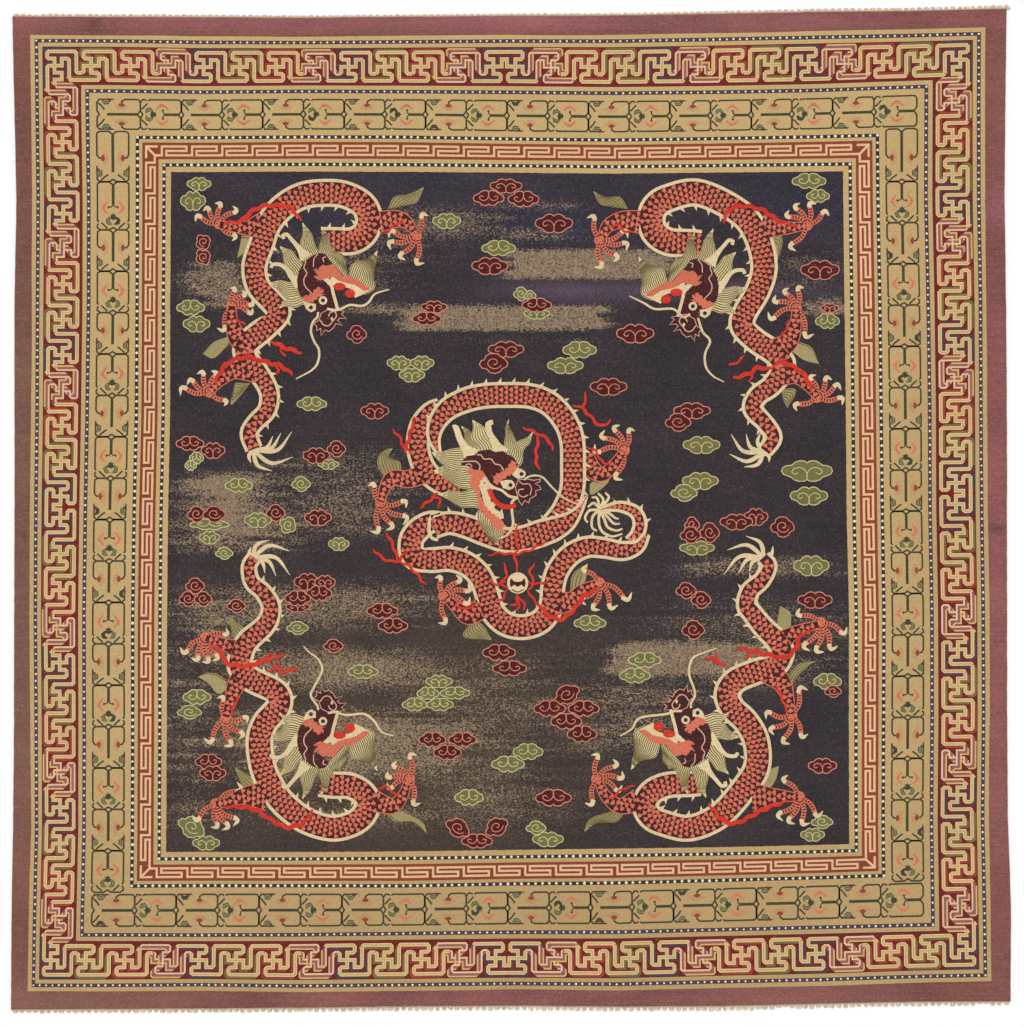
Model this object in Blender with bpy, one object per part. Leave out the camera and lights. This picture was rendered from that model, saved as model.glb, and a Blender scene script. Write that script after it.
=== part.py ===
"""Large knotted-pile hall carpet, laid flat, with a short ragged fringe of cut warps at its two ends.

Metres, +Z up. The carpet rests on its underside at z = 0. +Y is its head end and +X its right side.
"""

import math
import random

import bmesh
import bpy

MM = 0.001

# Driving sizes of the pile cloth.
HALF_WIDTH = 2.485
HALF_LENGTH = 2.480
THICKNESS = 9.0 * MM
SHOULDER_HEIGHT = 6.0 * MM
SHOULDER_INSET = 3.0 * MM
CORNER_ROUNDING = 12.0 * MM
EDGE_STEP = 30.0 * MM

# The four edges aren't quite straight: how far each lies outside its nominal line.
# Columns: station along the edge (metres from its middle), distance outwards (millimetres).
HEAD_EDGE = (
    (-2.50, 3.0),
    (-1.99, 1.0),
    (-1.50, 0.0),
    (-1.33, 5.0),
    (-1.00, -3.0),
    (-0.80, -4.5),
    (-0.50, 2.0),
    (-0.18, 7.0),
    (0.32, 7.0),
    (0.65, 8.5),
    (0.98, 15.5),
    (1.31, 23.5),
    (1.64, 27.5),
    (1.97, 30.0),
    (2.30, 36.5),
    (2.50, 42.0),
)
FOOT_EDGE = (
    (-2.50, 2.0),
    (-1.80, -2.0),
    (-1.16, -5.0),
    (-0.80, -9.0),
    (-0.34, -15.0),
    (0.16, -17.0),
    (0.65, -13.0),
    (0.98, -13.5),
    (1.31, -20.0),
    (1.64, -29.0),
    (1.97, -35.0),
    (2.22, -40.0),
    (2.50, -38.0),
)
LEFT_EDGE = (
    (-2.50, 16.0),
    (-2.27, 21.0),
    (-2.02, 14.0),
    (-1.57, 6.0),
    (-1.16, 2.0),
    (-0.52, 0.5),
    (-0.20, -5.0),
    (0.26, 1.0),
    (0.52, -1.5),
    (1.04, -1.0),
    (1.30, -6.0),
    (1.56, -11.0),
    (1.76, -6.0),
    (2.02, -1.0),
    (2.26, 5.0),
    (2.50, 9.5),
)
RIGHT_EDGE = (
    (-2.50, 13.5),
    (-2.24, 11.5),
    (-2.02, 16.0),
    (-1.84, 9.0),
    (-1.64, 1.0),
    (-1.30, -3.0),
    (-0.52, -4.0),
    (0.52, -5.0),
    (0.92, -7.0),
    (1.30, -13.0),
    (1.66, -17.0),
    (2.02, -12.5),
    (2.26, -10.0),
    (2.50, -6.0),
)

# Fringe: cut warp ends in short locks, whose roots run into a narrow bare web.
WEB_GAP = 0.4 * MM
WEB_THICKNESS = 3.0 * MM
LOCKS_PER_END = 149
ROOT_SHARE = 0.84
MIDDLE_SHARE = 0.66
TIP_SHARE = 0.34
MIDDLE_REACH = 0.55
MIDDLE_HEIGHT = 3.6 * MM
TIP_HEIGHT = 1.2 * MM
LEAN_SHARE = 0.20
LENGTH_SPREAD = 0.22
HEAD_TAIL = 21.0 * MM
HEAD_WEB = 6.0 * MM
FOOT_WEB = 8.0 * MM

# Reach of the fringe past the pile. Columns: station (metres), reach (millimetres).
HEAD_REACH = (
    (-2.50, 16.0),
    (-2.42, 15.0),
    (-2.38, 9.0),
    (-2.33, 16.0),
    (-1.20, 14.0),
    (0.00, 12.0),
    (1.00, 15.0),
    (1.80, 19.0),
    (2.52, 20.0),
)
FOOT_REACH = (
    (-2.50, 21.0),
    (-1.30, 24.0),
    (0.00, 27.0),
    (1.30, 28.0),
    (1.37, 13.0),
    (1.44, 28.0),
    (2.00, 26.0),
    (2.32, 24.0),
    (2.36, 10.0),
    (2.40, 23.0),
    (2.50, 22.0),
)

# Surface colours, as linear RGB.
PILE_COLOUR = (0.075, 0.045, 0.040, 1.0)
WARP_COLOUR = (0.560, 0.400, 0.230, 1.0)


def clear_objects():
    for old in list(bpy.data.objects):
        bpy.data.objects.remove(old, do_unlink=True)


def smooth_between(rows, station):
    """A smooth curve through the rows of a table, level at both of its ends."""
    if station <= rows[0][0]:
        return rows[0][1]
    if station >= rows[-1][0]:
        return rows[-1][1]
    index = 1
    while rows[index][0] < station:
        index += 1
    before = rows[index - 1]
    after = rows[index]
    span = after[0] - before[0]
    share = (station - before[0]) / span

    def slope(middle):
        if middle == 0 or middle == len(rows) - 1:
            return 0.0
        low = rows[middle - 1]
        high = rows[middle + 1]
        return (high[1] - low[1]) / (high[0] - low[0])

    square = share * share
    cube = square * share
    return (
        before[1] * (2 * cube - 3 * square + 1)
        + after[1] * (3 * square - 2 * cube)
        + slope(index - 1) * span * (cube - 2 * square + share)
        + slope(index) * span * (cube - square)
    )


def head_y(x):
    return HALF_LENGTH + smooth_between(HEAD_EDGE, x) * MM


def foot_y(x):
    return -HALF_LENGTH - smooth_between(FOOT_EDGE, x) * MM


def left_x(y):
    return -HALF_WIDTH - smooth_between(LEFT_EDGE, y) * MM


def right_x(y):
    return HALF_WIDTH + smooth_between(RIGHT_EDGE, y) * MM


def corner(side_x, end_y):
    """The point where a side edge and an end edge meet."""
    x = side_x(0.0)
    y = end_y(x)
    for _ in range(4):
        x = side_x(y)
        y = end_y(x)
    return x, y


def edge_run(start, end, point_at):
    """Evenly spaced points of one edge, clear of the rounded corners at its two ends."""
    length = abs(end - start)
    towards = math.copysign(1.0, end - start)
    steps = round((length - 2 * CORNER_ROUNDING) / EDGE_STEP)
    stride = (length - 2 * CORNER_ROUNDING) / steps
    first = start + towards * CORNER_ROUNDING
    return [point_at(first + towards * stride * step) for step in range(steps + 1)]


def rounded(before, tip, after):
    """The middle point of a small rounded corner between two edges."""
    return tuple(0.25 * a + 0.5 * b + 0.25 * c for a, b, c in zip(before, tip, after))


def carpet_outline():
    """The cloth's outline from above, counter-clockwise from its foot left corner."""
    foot_left = corner(left_x, foot_y)
    foot_right = corner(right_x, foot_y)
    head_right = corner(right_x, head_y)
    head_left = corner(left_x, head_y)
    runs = (
        edge_run(foot_left[0], foot_right[0], lambda x: (x, foot_y(x))),
        edge_run(foot_right[1], head_right[1], lambda y: (right_x(y), y)),
        edge_run(head_right[0], head_left[0], lambda x: (x, head_y(x))),
        edge_run(head_left[1], foot_left[1], lambda y: (left_x(y), y)),
    )
    tips = (foot_right, head_right, head_left, foot_left)
    outline = []
    for index, run in enumerate(runs):
        following = runs[(index + 1) % len(runs)]
        outline.extend(run)
        outline.append(rounded(run[-1], tips[index], following[0]))
    return outline


def drawn_in(outline, distance):
    """The outline moved inwards by a distance, at right angles to itself."""
    moved = []
    count = len(outline)
    for index, point in enumerate(outline):
        before = outline[index - 1]
        after = outline[(index + 1) % count]
        along_x = after[0] - before[0]
        along_y = after[1] - before[1]
        length = math.hypot(along_x, along_y)
        moved.append((
            point[0] - along_y / length * distance,
            point[1] + along_x / length * distance,
        ))
    return moved


def material(name, colour, roughness):
    made = bpy.data.materials.new(name)
    made.use_nodes = True
    shader = made.node_tree.nodes["Principled BSDF"]
    shader.inputs["Base Color"].default_value = colour
    shader.inputs["Roughness"].default_value = roughness
    shader.inputs["Metallic"].default_value = 0.0
    return made


def finished(name, mesh_work, surface):
    bmesh.ops.recalc_face_normals(mesh_work, faces=mesh_work.faces)
    mesh = bpy.data.meshes.new(name)
    mesh_work.to_mesh(mesh)
    mesh_work.free()
    mesh.materials.append(surface)
    made = bpy.data.objects.new(name, mesh)
    bpy.context.scene.collection.objects.link(made)
    return made


def carpet(surface):
    """The pile cloth: one flat slab with a soft shoulder along the top of its edges."""
    outline = carpet_outline()
    top_outline = drawn_in(outline, SHOULDER_INSET)
    work = bmesh.new()
    levels = ((outline, 0.0), (outline, SHOULDER_HEIGHT), (top_outline, THICKNESS))
    rings = [[work.verts.new((x, y, z)) for x, y in points] for points, z in levels]
    work.faces.new(rings[0])
    work.faces.new(rings[-1])
    for low, high in zip(rings, rings[1:]):
        for index in range(len(low)):
            following = (index + 1) % len(low)
            work.faces.new((low[index], low[following], high[following], high[index]))
    return finished("carpet", work, surface)


def lock_section(work, x_left, x_right, y, height):
    """One four-sided cross-section of the web or of a lock, level on the floor."""
    return [
        work.verts.new((x_left, y, 0.0)),
        work.verts.new((x_right, y, 0.0)),
        work.verts.new((x_right, y, height)),
        work.verts.new((x_left, y, height)),
    ]


def bridge(work, near, far):
    for index in range(len(near)):
        following = (index + 1) % len(near)
        work.faces.new((near[index], near[following], far[following], far[index]))


def lock(work, root, middle_x, root_y, width, reach, outwards, lean):
    """A short flat lock of warps that tapers from its root in the web to its frayed tip."""
    half = width / 2
    middle = lock_section(
        work,
        middle_x + lean * MIDDLE_REACH - half * MIDDLE_SHARE,
        middle_x + lean * MIDDLE_REACH + half * MIDDLE_SHARE,
        root_y + outwards * reach * MIDDLE_REACH,
        MIDDLE_HEIGHT,
    )
    tip = lock_section(
        work,
        middle_x + lean - half * TIP_SHARE,
        middle_x + lean + half * TIP_SHARE,
        root_y + outwards * reach,
        TIP_HEIGHT,
    )
    bridge(work, root, middle)
    bridge(work, middle, tip)
    work.faces.new(tip)


def fringe(name, surface, start, end, edge_y, outwards, web, reach_rows, seed):
    """One end's fringe: a web of bare warps that follows the pile's edge, and its locks."""
    shuffle = random.Random(seed)
    pitch = (end - start) / LOCKS_PER_END
    spare = pitch * (1 - ROOT_SHARE) / 2
    stations = [start]
    for index in range(LOCKS_PER_END):
        stations.append(start + pitch * index + spare)
        stations.append(start + pitch * (index + 1) - spare)
    stations.append(end)
    work = bmesh.new()

    def column(x):
        inner = edge_y(x) + outwards * WEB_GAP
        outer = inner + outwards * web
        return [
            work.verts.new((x, inner, 0.0)),
            work.verts.new((x, inner, WEB_THICKNESS)),
            work.verts.new((x, outer, WEB_THICKNESS)),
            work.verts.new((x, outer, 0.0)),
        ]

    columns = [column(x) for x in stations]
    work.faces.new(columns[0])
    work.faces.new(columns[-1])
    for index in range(len(columns) - 1):
        left = columns[index]
        right = columns[index + 1]
        for corner_index in (0, 1, 3):
            following = (corner_index + 1) % 4
            work.faces.new((left[corner_index], left[following], right[following], right[corner_index]))
        if index % 2 == 0:
            work.faces.new((left[2], left[3], right[3], right[2]))
            continue
        middle_x = (stations[index] + stations[index + 1]) / 2
        root_y = edge_y(middle_x) + outwards * (WEB_GAP + web)
        whole_reach = smooth_between(reach_rows, middle_x) * MM
        spread = 1 + LENGTH_SPREAD * shuffle.uniform(-1, 1)
        reach = max(whole_reach - web, web / 2) * spread
        lean = pitch * LEAN_SHARE * shuffle.uniform(-1, 1)
        root = [left[3], right[3], right[2], left[2]]
        lock(work, root, middle_x, root_y, pitch * ROOT_SHARE, reach, outwards, lean)
    return finished(name, work, surface)


def centre_on_origin(pieces):
    """Shift all pieces together, so that the middle of the whole outline is the origin."""
    points = [vertex.co for piece in pieces for vertex in piece.data.vertices]
    middle_x = (min(point.x for point in points) + max(point.x for point in points)) / 2
    middle_y = (min(point.y for point in points) + max(point.y for point in points)) / 2
    for piece in pieces:
        for vertex in piece.data.vertices:
            vertex.co.x -= middle_x
            vertex.co.y -= middle_y
    return middle_x, middle_y


def main():
    clear_objects()
    pile = material("pile", PILE_COLOUR, 0.95)
    warp = material("warp", WARP_COLOUR, 0.90)
    head_start = corner(left_x, head_y)[0]
    head_end = corner(right_x, head_y)[0] + HEAD_TAIL
    foot_start = corner(left_x, foot_y)[0]
    foot_end = corner(right_x, foot_y)[0]
    pieces = [
        carpet(pile),
        fringe("fringe_head", warp, head_start, head_end, head_y, 1, HEAD_WEB, HEAD_REACH, 3),
        fringe("fringe_foot", warp, foot_start, foot_end, foot_y, -1, FOOT_WEB, FOOT_REACH, 8),
    ]
    shift = centre_on_origin(pieces)
    print("moved by", [round(value, 6) for value in shift])
    for piece in pieces:
        print(piece.name, len(piece.data.polygons), "faces", [round(v, 4) for v in piece.dimensions])


main()
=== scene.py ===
# %% [markdown]
# # A hall carpet of dragons and clouds
# The carpet is a knotted wool pile, about five metres square and nine millimetres thick. Its
# pattern is colour alone, so the pile could be one sheet with a painted image. Here every shape of
# the pattern is its own low bed of pile, because knotted edges are crisp. One knot is five
# millimetres, and the drawing is laid out in knots, as on the chart that hangs over a loom.

import math
import random

import bpy
import numpy as np
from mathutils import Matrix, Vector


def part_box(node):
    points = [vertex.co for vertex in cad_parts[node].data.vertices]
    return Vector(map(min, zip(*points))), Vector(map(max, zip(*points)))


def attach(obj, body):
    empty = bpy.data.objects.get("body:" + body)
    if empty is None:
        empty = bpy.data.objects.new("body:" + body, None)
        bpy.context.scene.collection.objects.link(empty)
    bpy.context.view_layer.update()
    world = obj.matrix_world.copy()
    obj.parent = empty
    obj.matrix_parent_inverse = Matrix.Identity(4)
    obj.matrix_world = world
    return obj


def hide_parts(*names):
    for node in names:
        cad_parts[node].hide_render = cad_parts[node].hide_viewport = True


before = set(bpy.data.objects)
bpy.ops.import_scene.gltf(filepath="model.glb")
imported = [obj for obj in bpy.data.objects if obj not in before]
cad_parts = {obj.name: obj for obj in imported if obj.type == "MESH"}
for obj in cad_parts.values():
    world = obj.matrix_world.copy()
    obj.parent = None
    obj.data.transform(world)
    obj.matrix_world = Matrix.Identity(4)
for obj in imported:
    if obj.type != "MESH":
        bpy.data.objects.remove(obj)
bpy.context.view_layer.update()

MM = 0.001
KNOT = 5 * MM
CHART_MIDDLE = (510.5, 509.2)  # column and row over the middle of the carpet


def on_floor(chart):  # in metres
    chart = np.asarray(chart, float).reshape(-1, 2)
    return (chart - CHART_MIDDLE) * (KNOT, -KNOT)


# %% [markdown]
# ## Shader sums
# A finish is a graph of nodes, long and hard to read when it is written node by node. So a socket
# is wrapped in a small class whose `+`, `-` and `*` each add a Math node. Any other node comes
# from one method, which takes its type, its settings and what its sockets hold.


# %% A socket that takes part in sums
def summed(operation, reflected=False):
    """A method that adds one Math node. Reflected, its thread comes second in the sum."""

    def method(self, other):
        first, second = (other, self) if reflected else (self, other)
        return self.finish.node("ShaderNodeMath", {"operation": operation}, {0: first, 1: second})

    return method


class Thread:
    """One output of a finish's graph. Sums on it add Math nodes."""

    def __init__(self, finish, socket):
        self.finish = finish
        self.socket = socket

    __add__, __radd__ = summed("ADD"), summed("ADD", True)
    __sub__, __rsub__ = summed("SUBTRACT"), summed("SUBTRACT", True)
    __mul__, __rmul__ = summed("MULTIPLY"), summed("MULTIPLY", True)

    def clipped(self):
        return self.finish.node("ShaderNodeClamp", {}, {0: self, 1: 0.0, 2: 1.0})


# %% A finish and its nodes
class Finish:
    """A material with one Principled shader, built from threads."""

    def __init__(self, name, roughness=0.9, sheen=0.2):
        self.material = bpy.data.materials.new(name)
        self.material.use_nodes = True
        self.tree = self.material.node_tree
        self.shader = self.tree.nodes["Principled BSDF"]
        for name, value in (("Roughness", roughness), ("Specular IOR Level", 0.15),
                            ("Sheen Weight", sheen), ("Sheen Roughness", 0.6)):
            self.feed(name, value)

    def node(self, kind, settings, values, output=0):
        """Adds a node. Its settings come first, because some of them change its sockets."""
        made = self.tree.nodes.new(kind)
        for name, setting in settings.items():
            setattr(made, name, setting)
        for name, value in values.items():
            self.join(made.inputs[name], value)
        return Thread(self, made.outputs[output])

    def join(self, socket, value):
        if isinstance(value, Thread):
            self.tree.links.new(value.socket, socket)
        else:
            socket.default_value = value

    def feed(self, name, value):
        self.join(self.shader.inputs[name], value)

    def place(self):
        return self.node("ShaderNodeTexCoord", {}, {}, "Object")

    def vector(self, operation, first, second):
        return self.node("ShaderNodeVectorMath", {"operation": operation}, {0: first, 1: second})

    def noise(self, place, scale, detail=2.0):
        """Soft noise from 0 to 1. Scale counts the blotches in a metre, along each side."""
        values = {"Vector": self.vector("MULTIPLY", place, scale), "Scale": 1.0, "Detail": detail}
        return self.node("ShaderNodeTexNoise", {"noise_dimensions": "3D"}, values)

    def by_knot(self, place, shift=0.0):
        """A number from 0 to 1 that is the same all over one knot."""
        moved = self.vector("ADD", place, (shift,) * 3)
        flat = self.vector("MULTIPLY", moved, (1.0, 1.0, 0.0))
        cell = self.vector("SNAP", flat, (KNOT, KNOT, 1.0))
        return self.node("ShaderNodeTexWhiteNoise", {"noise_dimensions": "3D"}, {"Vector": cell})

    def step(self, value, low, high):
        """0 below low, 1 above high, and an even slope between."""
        values = {0: value, 1: low, 2: high, 3: 0.0, 4: 1.0}
        return self.node("ShaderNodeMapRange", {"clamp": True}, values)

    def dyed(self, name, output="Color"):
        """What the piece's mesh holds under that name at each corner."""
        return self.node("ShaderNodeAttribute", {"attribute_name": name}, {}, output)

    def mixed(self, first, second, share, blend="MIX"):
        settings = {"data_type": "RGBA", "blend_type": blend}
        return self.node("ShaderNodeMix", settings, {0: share, 6: first, 7: second}, 2)

    def toned(self, colour, tone):
        """The colour made lighter or darker: tone 1 leaves it as it is."""
        return self.node("ShaderNodeVectorMath", {"operation": "SCALE"}, {0: colour, "Scale": tone})

    def bumped(self, height, distance, strength=0.6):
        values = {"Height": height, "Distance": distance, "Strength": strength}
        self.feed("Normal", self.node("ShaderNodeBump", {}, values))


print("one knot is", round(KNOT / MM, 1), "mm across")

# %% [markdown]
# ## Dyes
# The wool was dyed in few baths. Each has a name here and its colour as the eye sees it, in 0 to
# 255 steps. Blender works with light, so a dye is turned into linear values when it is taken.

# %% The dye table
DYES = {
    "plum": (123, 76, 67), "umber plum": (124, 90, 76), "faded plum": (158, 96, 102),
    "dark plum": (98, 60, 60), "camel": (197, 166, 113), "foot camel": (178, 147, 100),
    "fret light": (226, 194, 140), "straw": (186, 154, 106), "cream": (222, 200, 155),
    "pearl": (232, 222, 196), "soot": (48, 40, 44), "mauve soot": (74, 58, 70), "madder": (112, 28, 28),
    "dark madder": (88, 34, 34), "brick": (150, 62, 50), "navy": (74, 60, 70), "olive": (118, 102, 60),
    "mauve": (138, 94, 98), "gold": (216, 170, 98), "blush": (228, 186, 146), "rust": (136, 62, 42),
    "peach": (226, 184, 140), "vine": (62, 64, 46), "leaf": (118, 124, 80), "bud": (92, 52, 60),
    "coral": (209, 110, 84), "violet night": (54, 47, 57), "night": (51, 44, 48),
    "brown night": (74, 61, 50), "deep navy": (46, 44, 64), "dusk violet": (86, 70, 86),
    "worn warp": (176, 150, 116), "cloud green": (114, 108, 62), "cloud lime": (198, 190, 138),
    "cloud plum": (78, 18, 19), "cloud rose": (208, 134, 112), "shell": (216, 168, 140),
    "bloom": (208, 116, 88), "tan": (188, 122, 94), "scale plum": (68, 26, 31), "ivory": (220, 197, 154),
    "flame": (206, 50, 36), "sedge": (106, 94, 56), "pale sedge": (218, 198, 148),
    "leaf olive": (160, 146, 98), "warp yarn": (208, 182, 146),
}


def dye(name):
    shares = [step / 255 for step in DYES[name]]
    linear = [c / 12.92 if c <= 0.04045 else ((c + 0.055) / 1.055) ** 2.4 for c in shares]
    return (*linear, 1.0)


print(len(DYES), "dyes")

# %% [markdown]
# ## Wool
# A clipped pile is dull and never one even tone: each knot takes the dye in its own way, and each
# batch of yarn gives a faint band along the weft. One flat colour would look printed, so the
# finish reads the dye from the mesh and adds knot tones, bands, blotches, worn streaks and a bump
# with one crown for each knot.


# %% The wool finish
def wool(name, knot_tone=0.26, band_tone=0.14, blotch_tone=0.16, wear=0.25):
    """The dyes that a mesh holds, more or less uneven and worn."""
    finish = Finish(name, sheen=0.12)
    place = finish.place()
    knots = finish.by_knot(place)
    tufts = finish.noise(place, (420, 420, 60), 3)
    bands = finish.noise(place, (3, 75, 1), 3)
    blotches = finish.noise(place, (2.2, 2.6, 1), 4)
    tone = 1.0 + knot_tone * (knots - 0.5) + band_tone * (bands - 0.5)
    tone = tone + blotch_tone * (blotches - 0.5) + 0.3 * (tufts - 0.5)
    colour = finish.toned(finish.dyed("dye"), tone)
    streaks = finish.noise(place, (14, 160, 1), 4)
    rubbed = finish.step(streaks + 0.25 * (knots - 0.5), 0.62, 0.8) * wear
    colour = finish.mixed(colour, dye("straw"), rubbed)
    finish.feed("Base Color", colour)
    finish.feed("Roughness", 0.82 + 0.16 * tufts)
    finish.bumped(tufts + 0.6 * knots, 0.8 * MM)
    return finish.material


# %% [markdown]
# ## Beds of pile
# The pattern needs a few thousand flat shapes. Each could be its own object, but one layer of
# them is easier to handle as one mesh: a bed that gathers outlines and ribbons, gives each a dye
# and a height, and cuts its sides down a little, as scissors do along a colour change.


# %% A bed of pile
HAIR = 0.007  # mm


class Bed:
    """Gathers cut shapes of one layer of the pile and weaves them into one piece."""

    def __init__(self, name, height, drop=0.5, layers=12):
        self.name = name
        self.height = height  # mm over the floor
        self.drop = drop  # mm that the sides go down
        self.layers = layers
        self.turn = 0
        self.points = []
        self.faces = []
        self.dyes = []

    def cut(self, ground, faces, dye_name, rise):
        """Adds a shape, a hair over the one before it, so that neighbours are never level."""
        self.turn = (self.turn + 1) % self.layers
        first = len(self.points)
        top = (self.height + rise + HAIR * self.turn) * MM
        for z in (top, top - self.drop * MM):
            self.points.extend((x, y, z) for x, y in ground)
        self.faces.extend([first + k for k in face] for face in faces)
        self.dyes.append((2 * len(ground), dye(dye_name)))

    def shape(self, outline, dye_name, rise=0.0, chart=None):
        ground = on_floor(as_knots(outline, chart))
        x, y = ground[:, 0], ground[:, 1]
        if (x * np.roll(y, -1) - np.roll(x, -1) * y).sum() < 0:
            ground = ground[::-1]
        count = len(ground)
        faces = [range(count)]
        for k in range(count):
            after = (k + 1) % count
            faces.append((after, k, count + k, count + after))
        self.cut(ground, faces, dye_name, rise)

    def ribbon(self, course, width, dye_name, rise=0.0, chart=None):
        """A strip along a course. Width is one number, or several that are spread along it."""
        edges = [as_knots(edge, chart) for edge in sides(np.asarray(course, float), width)]
        ground = on_floor(np.stack(edges, 1))
        count = len(ground)
        a, b, c = ground[0], ground[1], ground[3]
        flip = (b[0] - a[0]) * (c[1] - a[1]) - (b[1] - a[1]) * (c[0] - a[0]) < 0
        faces = []
        for k in range(0, count - 2, 2):
            for quad in ((0, 1, 3, 2), (0, 2, count + 2, count), (3, 1, count + 1, count + 3)):
                corners = [k + q for q in quad]
                faces.append(corners[::-1] if flip else corners)
        self.cut(ground, faces, dye_name, rise)

    def woven(self, finish, slot="pile"):
        mesh = bpy.data.meshes.new(self.name)
        mesh.from_pydata(self.points, [], self.faces)
        colours = mesh.attributes.new("dye", "FLOAT_COLOR", "POINT")
        lot = random.Random(self.name)
        flat = []
        for count, colour in self.dyes:
            tone = lot.uniform(0.94, 1.06)
            flat += [colour[0] * tone, colour[1] * tone, colour[2] * tone, 1.0] * count
        colours.data.foreach_set("color", flat)
        return placed(mesh, finish)


def placed(mesh, finish):
    """A mesh as a piece that lies with the carpet, with a flat map seen from above."""
    spread = mesh.uv_layers.new(name="Map")
    corners = np.zeros(len(mesh.loops), int)
    mesh.loops.foreach_get("vertex_index", corners)
    points = np.zeros(len(mesh.vertices) * 3)
    mesh.vertices.foreach_get("co", points)
    points = points.reshape(-1, 3)[corners][:, :2]
    low, high = points.min(0), points.max(0)
    spread.data.foreach_set("uv", ((points - low) / (high - low)).ravel())
    mesh.materials.append(finish)
    mesh.validate()
    piece = bpy.data.objects.new(mesh.name, mesh)
    bpy.context.scene.collection.objects.link(piece)
    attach(piece, "root")
    print(mesh.name, "has", len(mesh.polygons), "faces")
    return piece


# %% [markdown]
# ## Drawing on the chart
# A weaver draws with a few points and lets the hand run smoothly through them. `flow` does the
# same, `sides` gives the two edges of a ribbon, with square corners mitred, and `scattered` breaks
# long straight sides, so that they can follow an uneven border.


# %% Courses and their sides
SHARPEST = 0.66  # keeps the mitre of a sharp corner from running out
WIDE, EASE_REACH, EASE_PASSES = 8, 9, 16  # only the edges of wide ribbons are eased where they wait


def flow(points, step=2.5):
    """A Catmull-Rom course through the points, about one step between its stations."""
    points = np.asarray(points, float)
    around = np.vstack([2 * points[0] - points[1], points, 2 * points[-1] - points[-2]])
    course = []
    for before, start, end, after in zip(around, around[1:], around[2:], around[3:]):
        pieces = max(1, round(float(np.hypot(*(end - start))) / step))
        for part in np.arange(pieces)[:, None] / pieces:
            course.append(0.5 * (
                2 * start + (end - before) * part
                + (2 * before - 5 * start + 4 * end - after) * part**2
                + (3 * start - before - 3 * end + after) * part**3))
    return np.vstack([*course, points[-1]])


def lengths(course):
    steps = np.hypot(*np.diff(course, axis=0).T)
    return np.concatenate([[0.0], np.cumsum(steps)])


def even(arrows):  # each one knot long
    return arrows / np.maximum(np.hypot(*arrows.T), 1e-9)[:, None]


def across(course):
    """At each station, the direction square to the course, longer where it turns sharply."""
    ahead = even(np.diff(course, axis=0))
    square = np.stack([-ahead[:, 1], ahead[:, 0]], 1)
    both = even(np.vstack([square[:1], square[:-1] + square[1:], square[-1:]]))
    meet = (both * np.vstack([square[:1], square])).sum(1)
    return both / np.maximum(meet, SHARPEST)[:, None]


def widths_along(course, width):
    """A width for each station, from one number or from several spread along the course."""
    if np.ndim(width) == 0:
        return np.full(len(course), float(width))
    run = lengths(course)
    return np.interp(run / run[-1], np.linspace(0, 1, len(width)), width)


def sides(course, width):
    """The two edges of a ribbon. Where an edge would turn back on itself, it waits."""
    half = across(course) * widths_along(course, width)[:, None] / 2
    edges = np.stack([course + half, course - half])
    ahead = np.diff(course, axis=0)
    for edge in edges:
        waits = np.zeros(len(edge))
        for k in range(1, len(edge)):
            if (edge[k] - edge[k - 1]) @ ahead[k - 1] <= 0:
                edge[k] = edge[k - 1]
                waits[k] = 1
        near = np.convolve(waits, np.ones(EASE_REACH), "same")[1:-1, None] > 0
        for _ in range(EASE_PASSES if np.max(width) > WIDE else 0):
            eased = (edge[:-2] + 2 * edge[1:-1] + edge[2:]) / 4
            edge[1:-1] = np.where(near, eased, edge[1:-1])
    return edges


def scattered(points, step=14.0, closed=True):
    """The same outline, with points added where its straight sides are long."""
    points = np.asarray(points, float)
    ends = np.roll(points, -1, 0) if closed else points[1:]
    parts = []
    for start, end in zip(points, ends):
        pieces = max(1, math.ceil(float(np.hypot(*(end - start))) / step))
        parts.append(start + (end - start) * np.arange(pieces)[:, None] / pieces)
    if not closed:
        parts.append(points[-1:])
    return np.vstack(parts)


def as_knots(points, chart):
    """The points on the chart. A border's even drawing is laid where the border really runs."""
    points = np.asarray(points, float).reshape(-1, 2)
    return points if chart is None else chart(points)


# %% [markdown]
# ## How the borders really run
# On paper the borders are straight. On the loom the tension changes, and the finished carpet
# leans and waves by a few knots. It could be drawn crooked at once, but it is easier to draw it
# even and then pull each point to where the real lines run. The tables give, for stations along
# each side, the columns or rows of five lines.

# %% The uneven border lines
LINE_DEPTHS = (-17.5, 0.0, 57.0, 104.2, 138.0)  # how deep the five lines lie on paper, in knots
PAPER = (956.9, 955.0)  # the border's outer rectangle on paper, in knots
PAPER_START = (31, 33)  # the column and row where that rectangle starts

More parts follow.
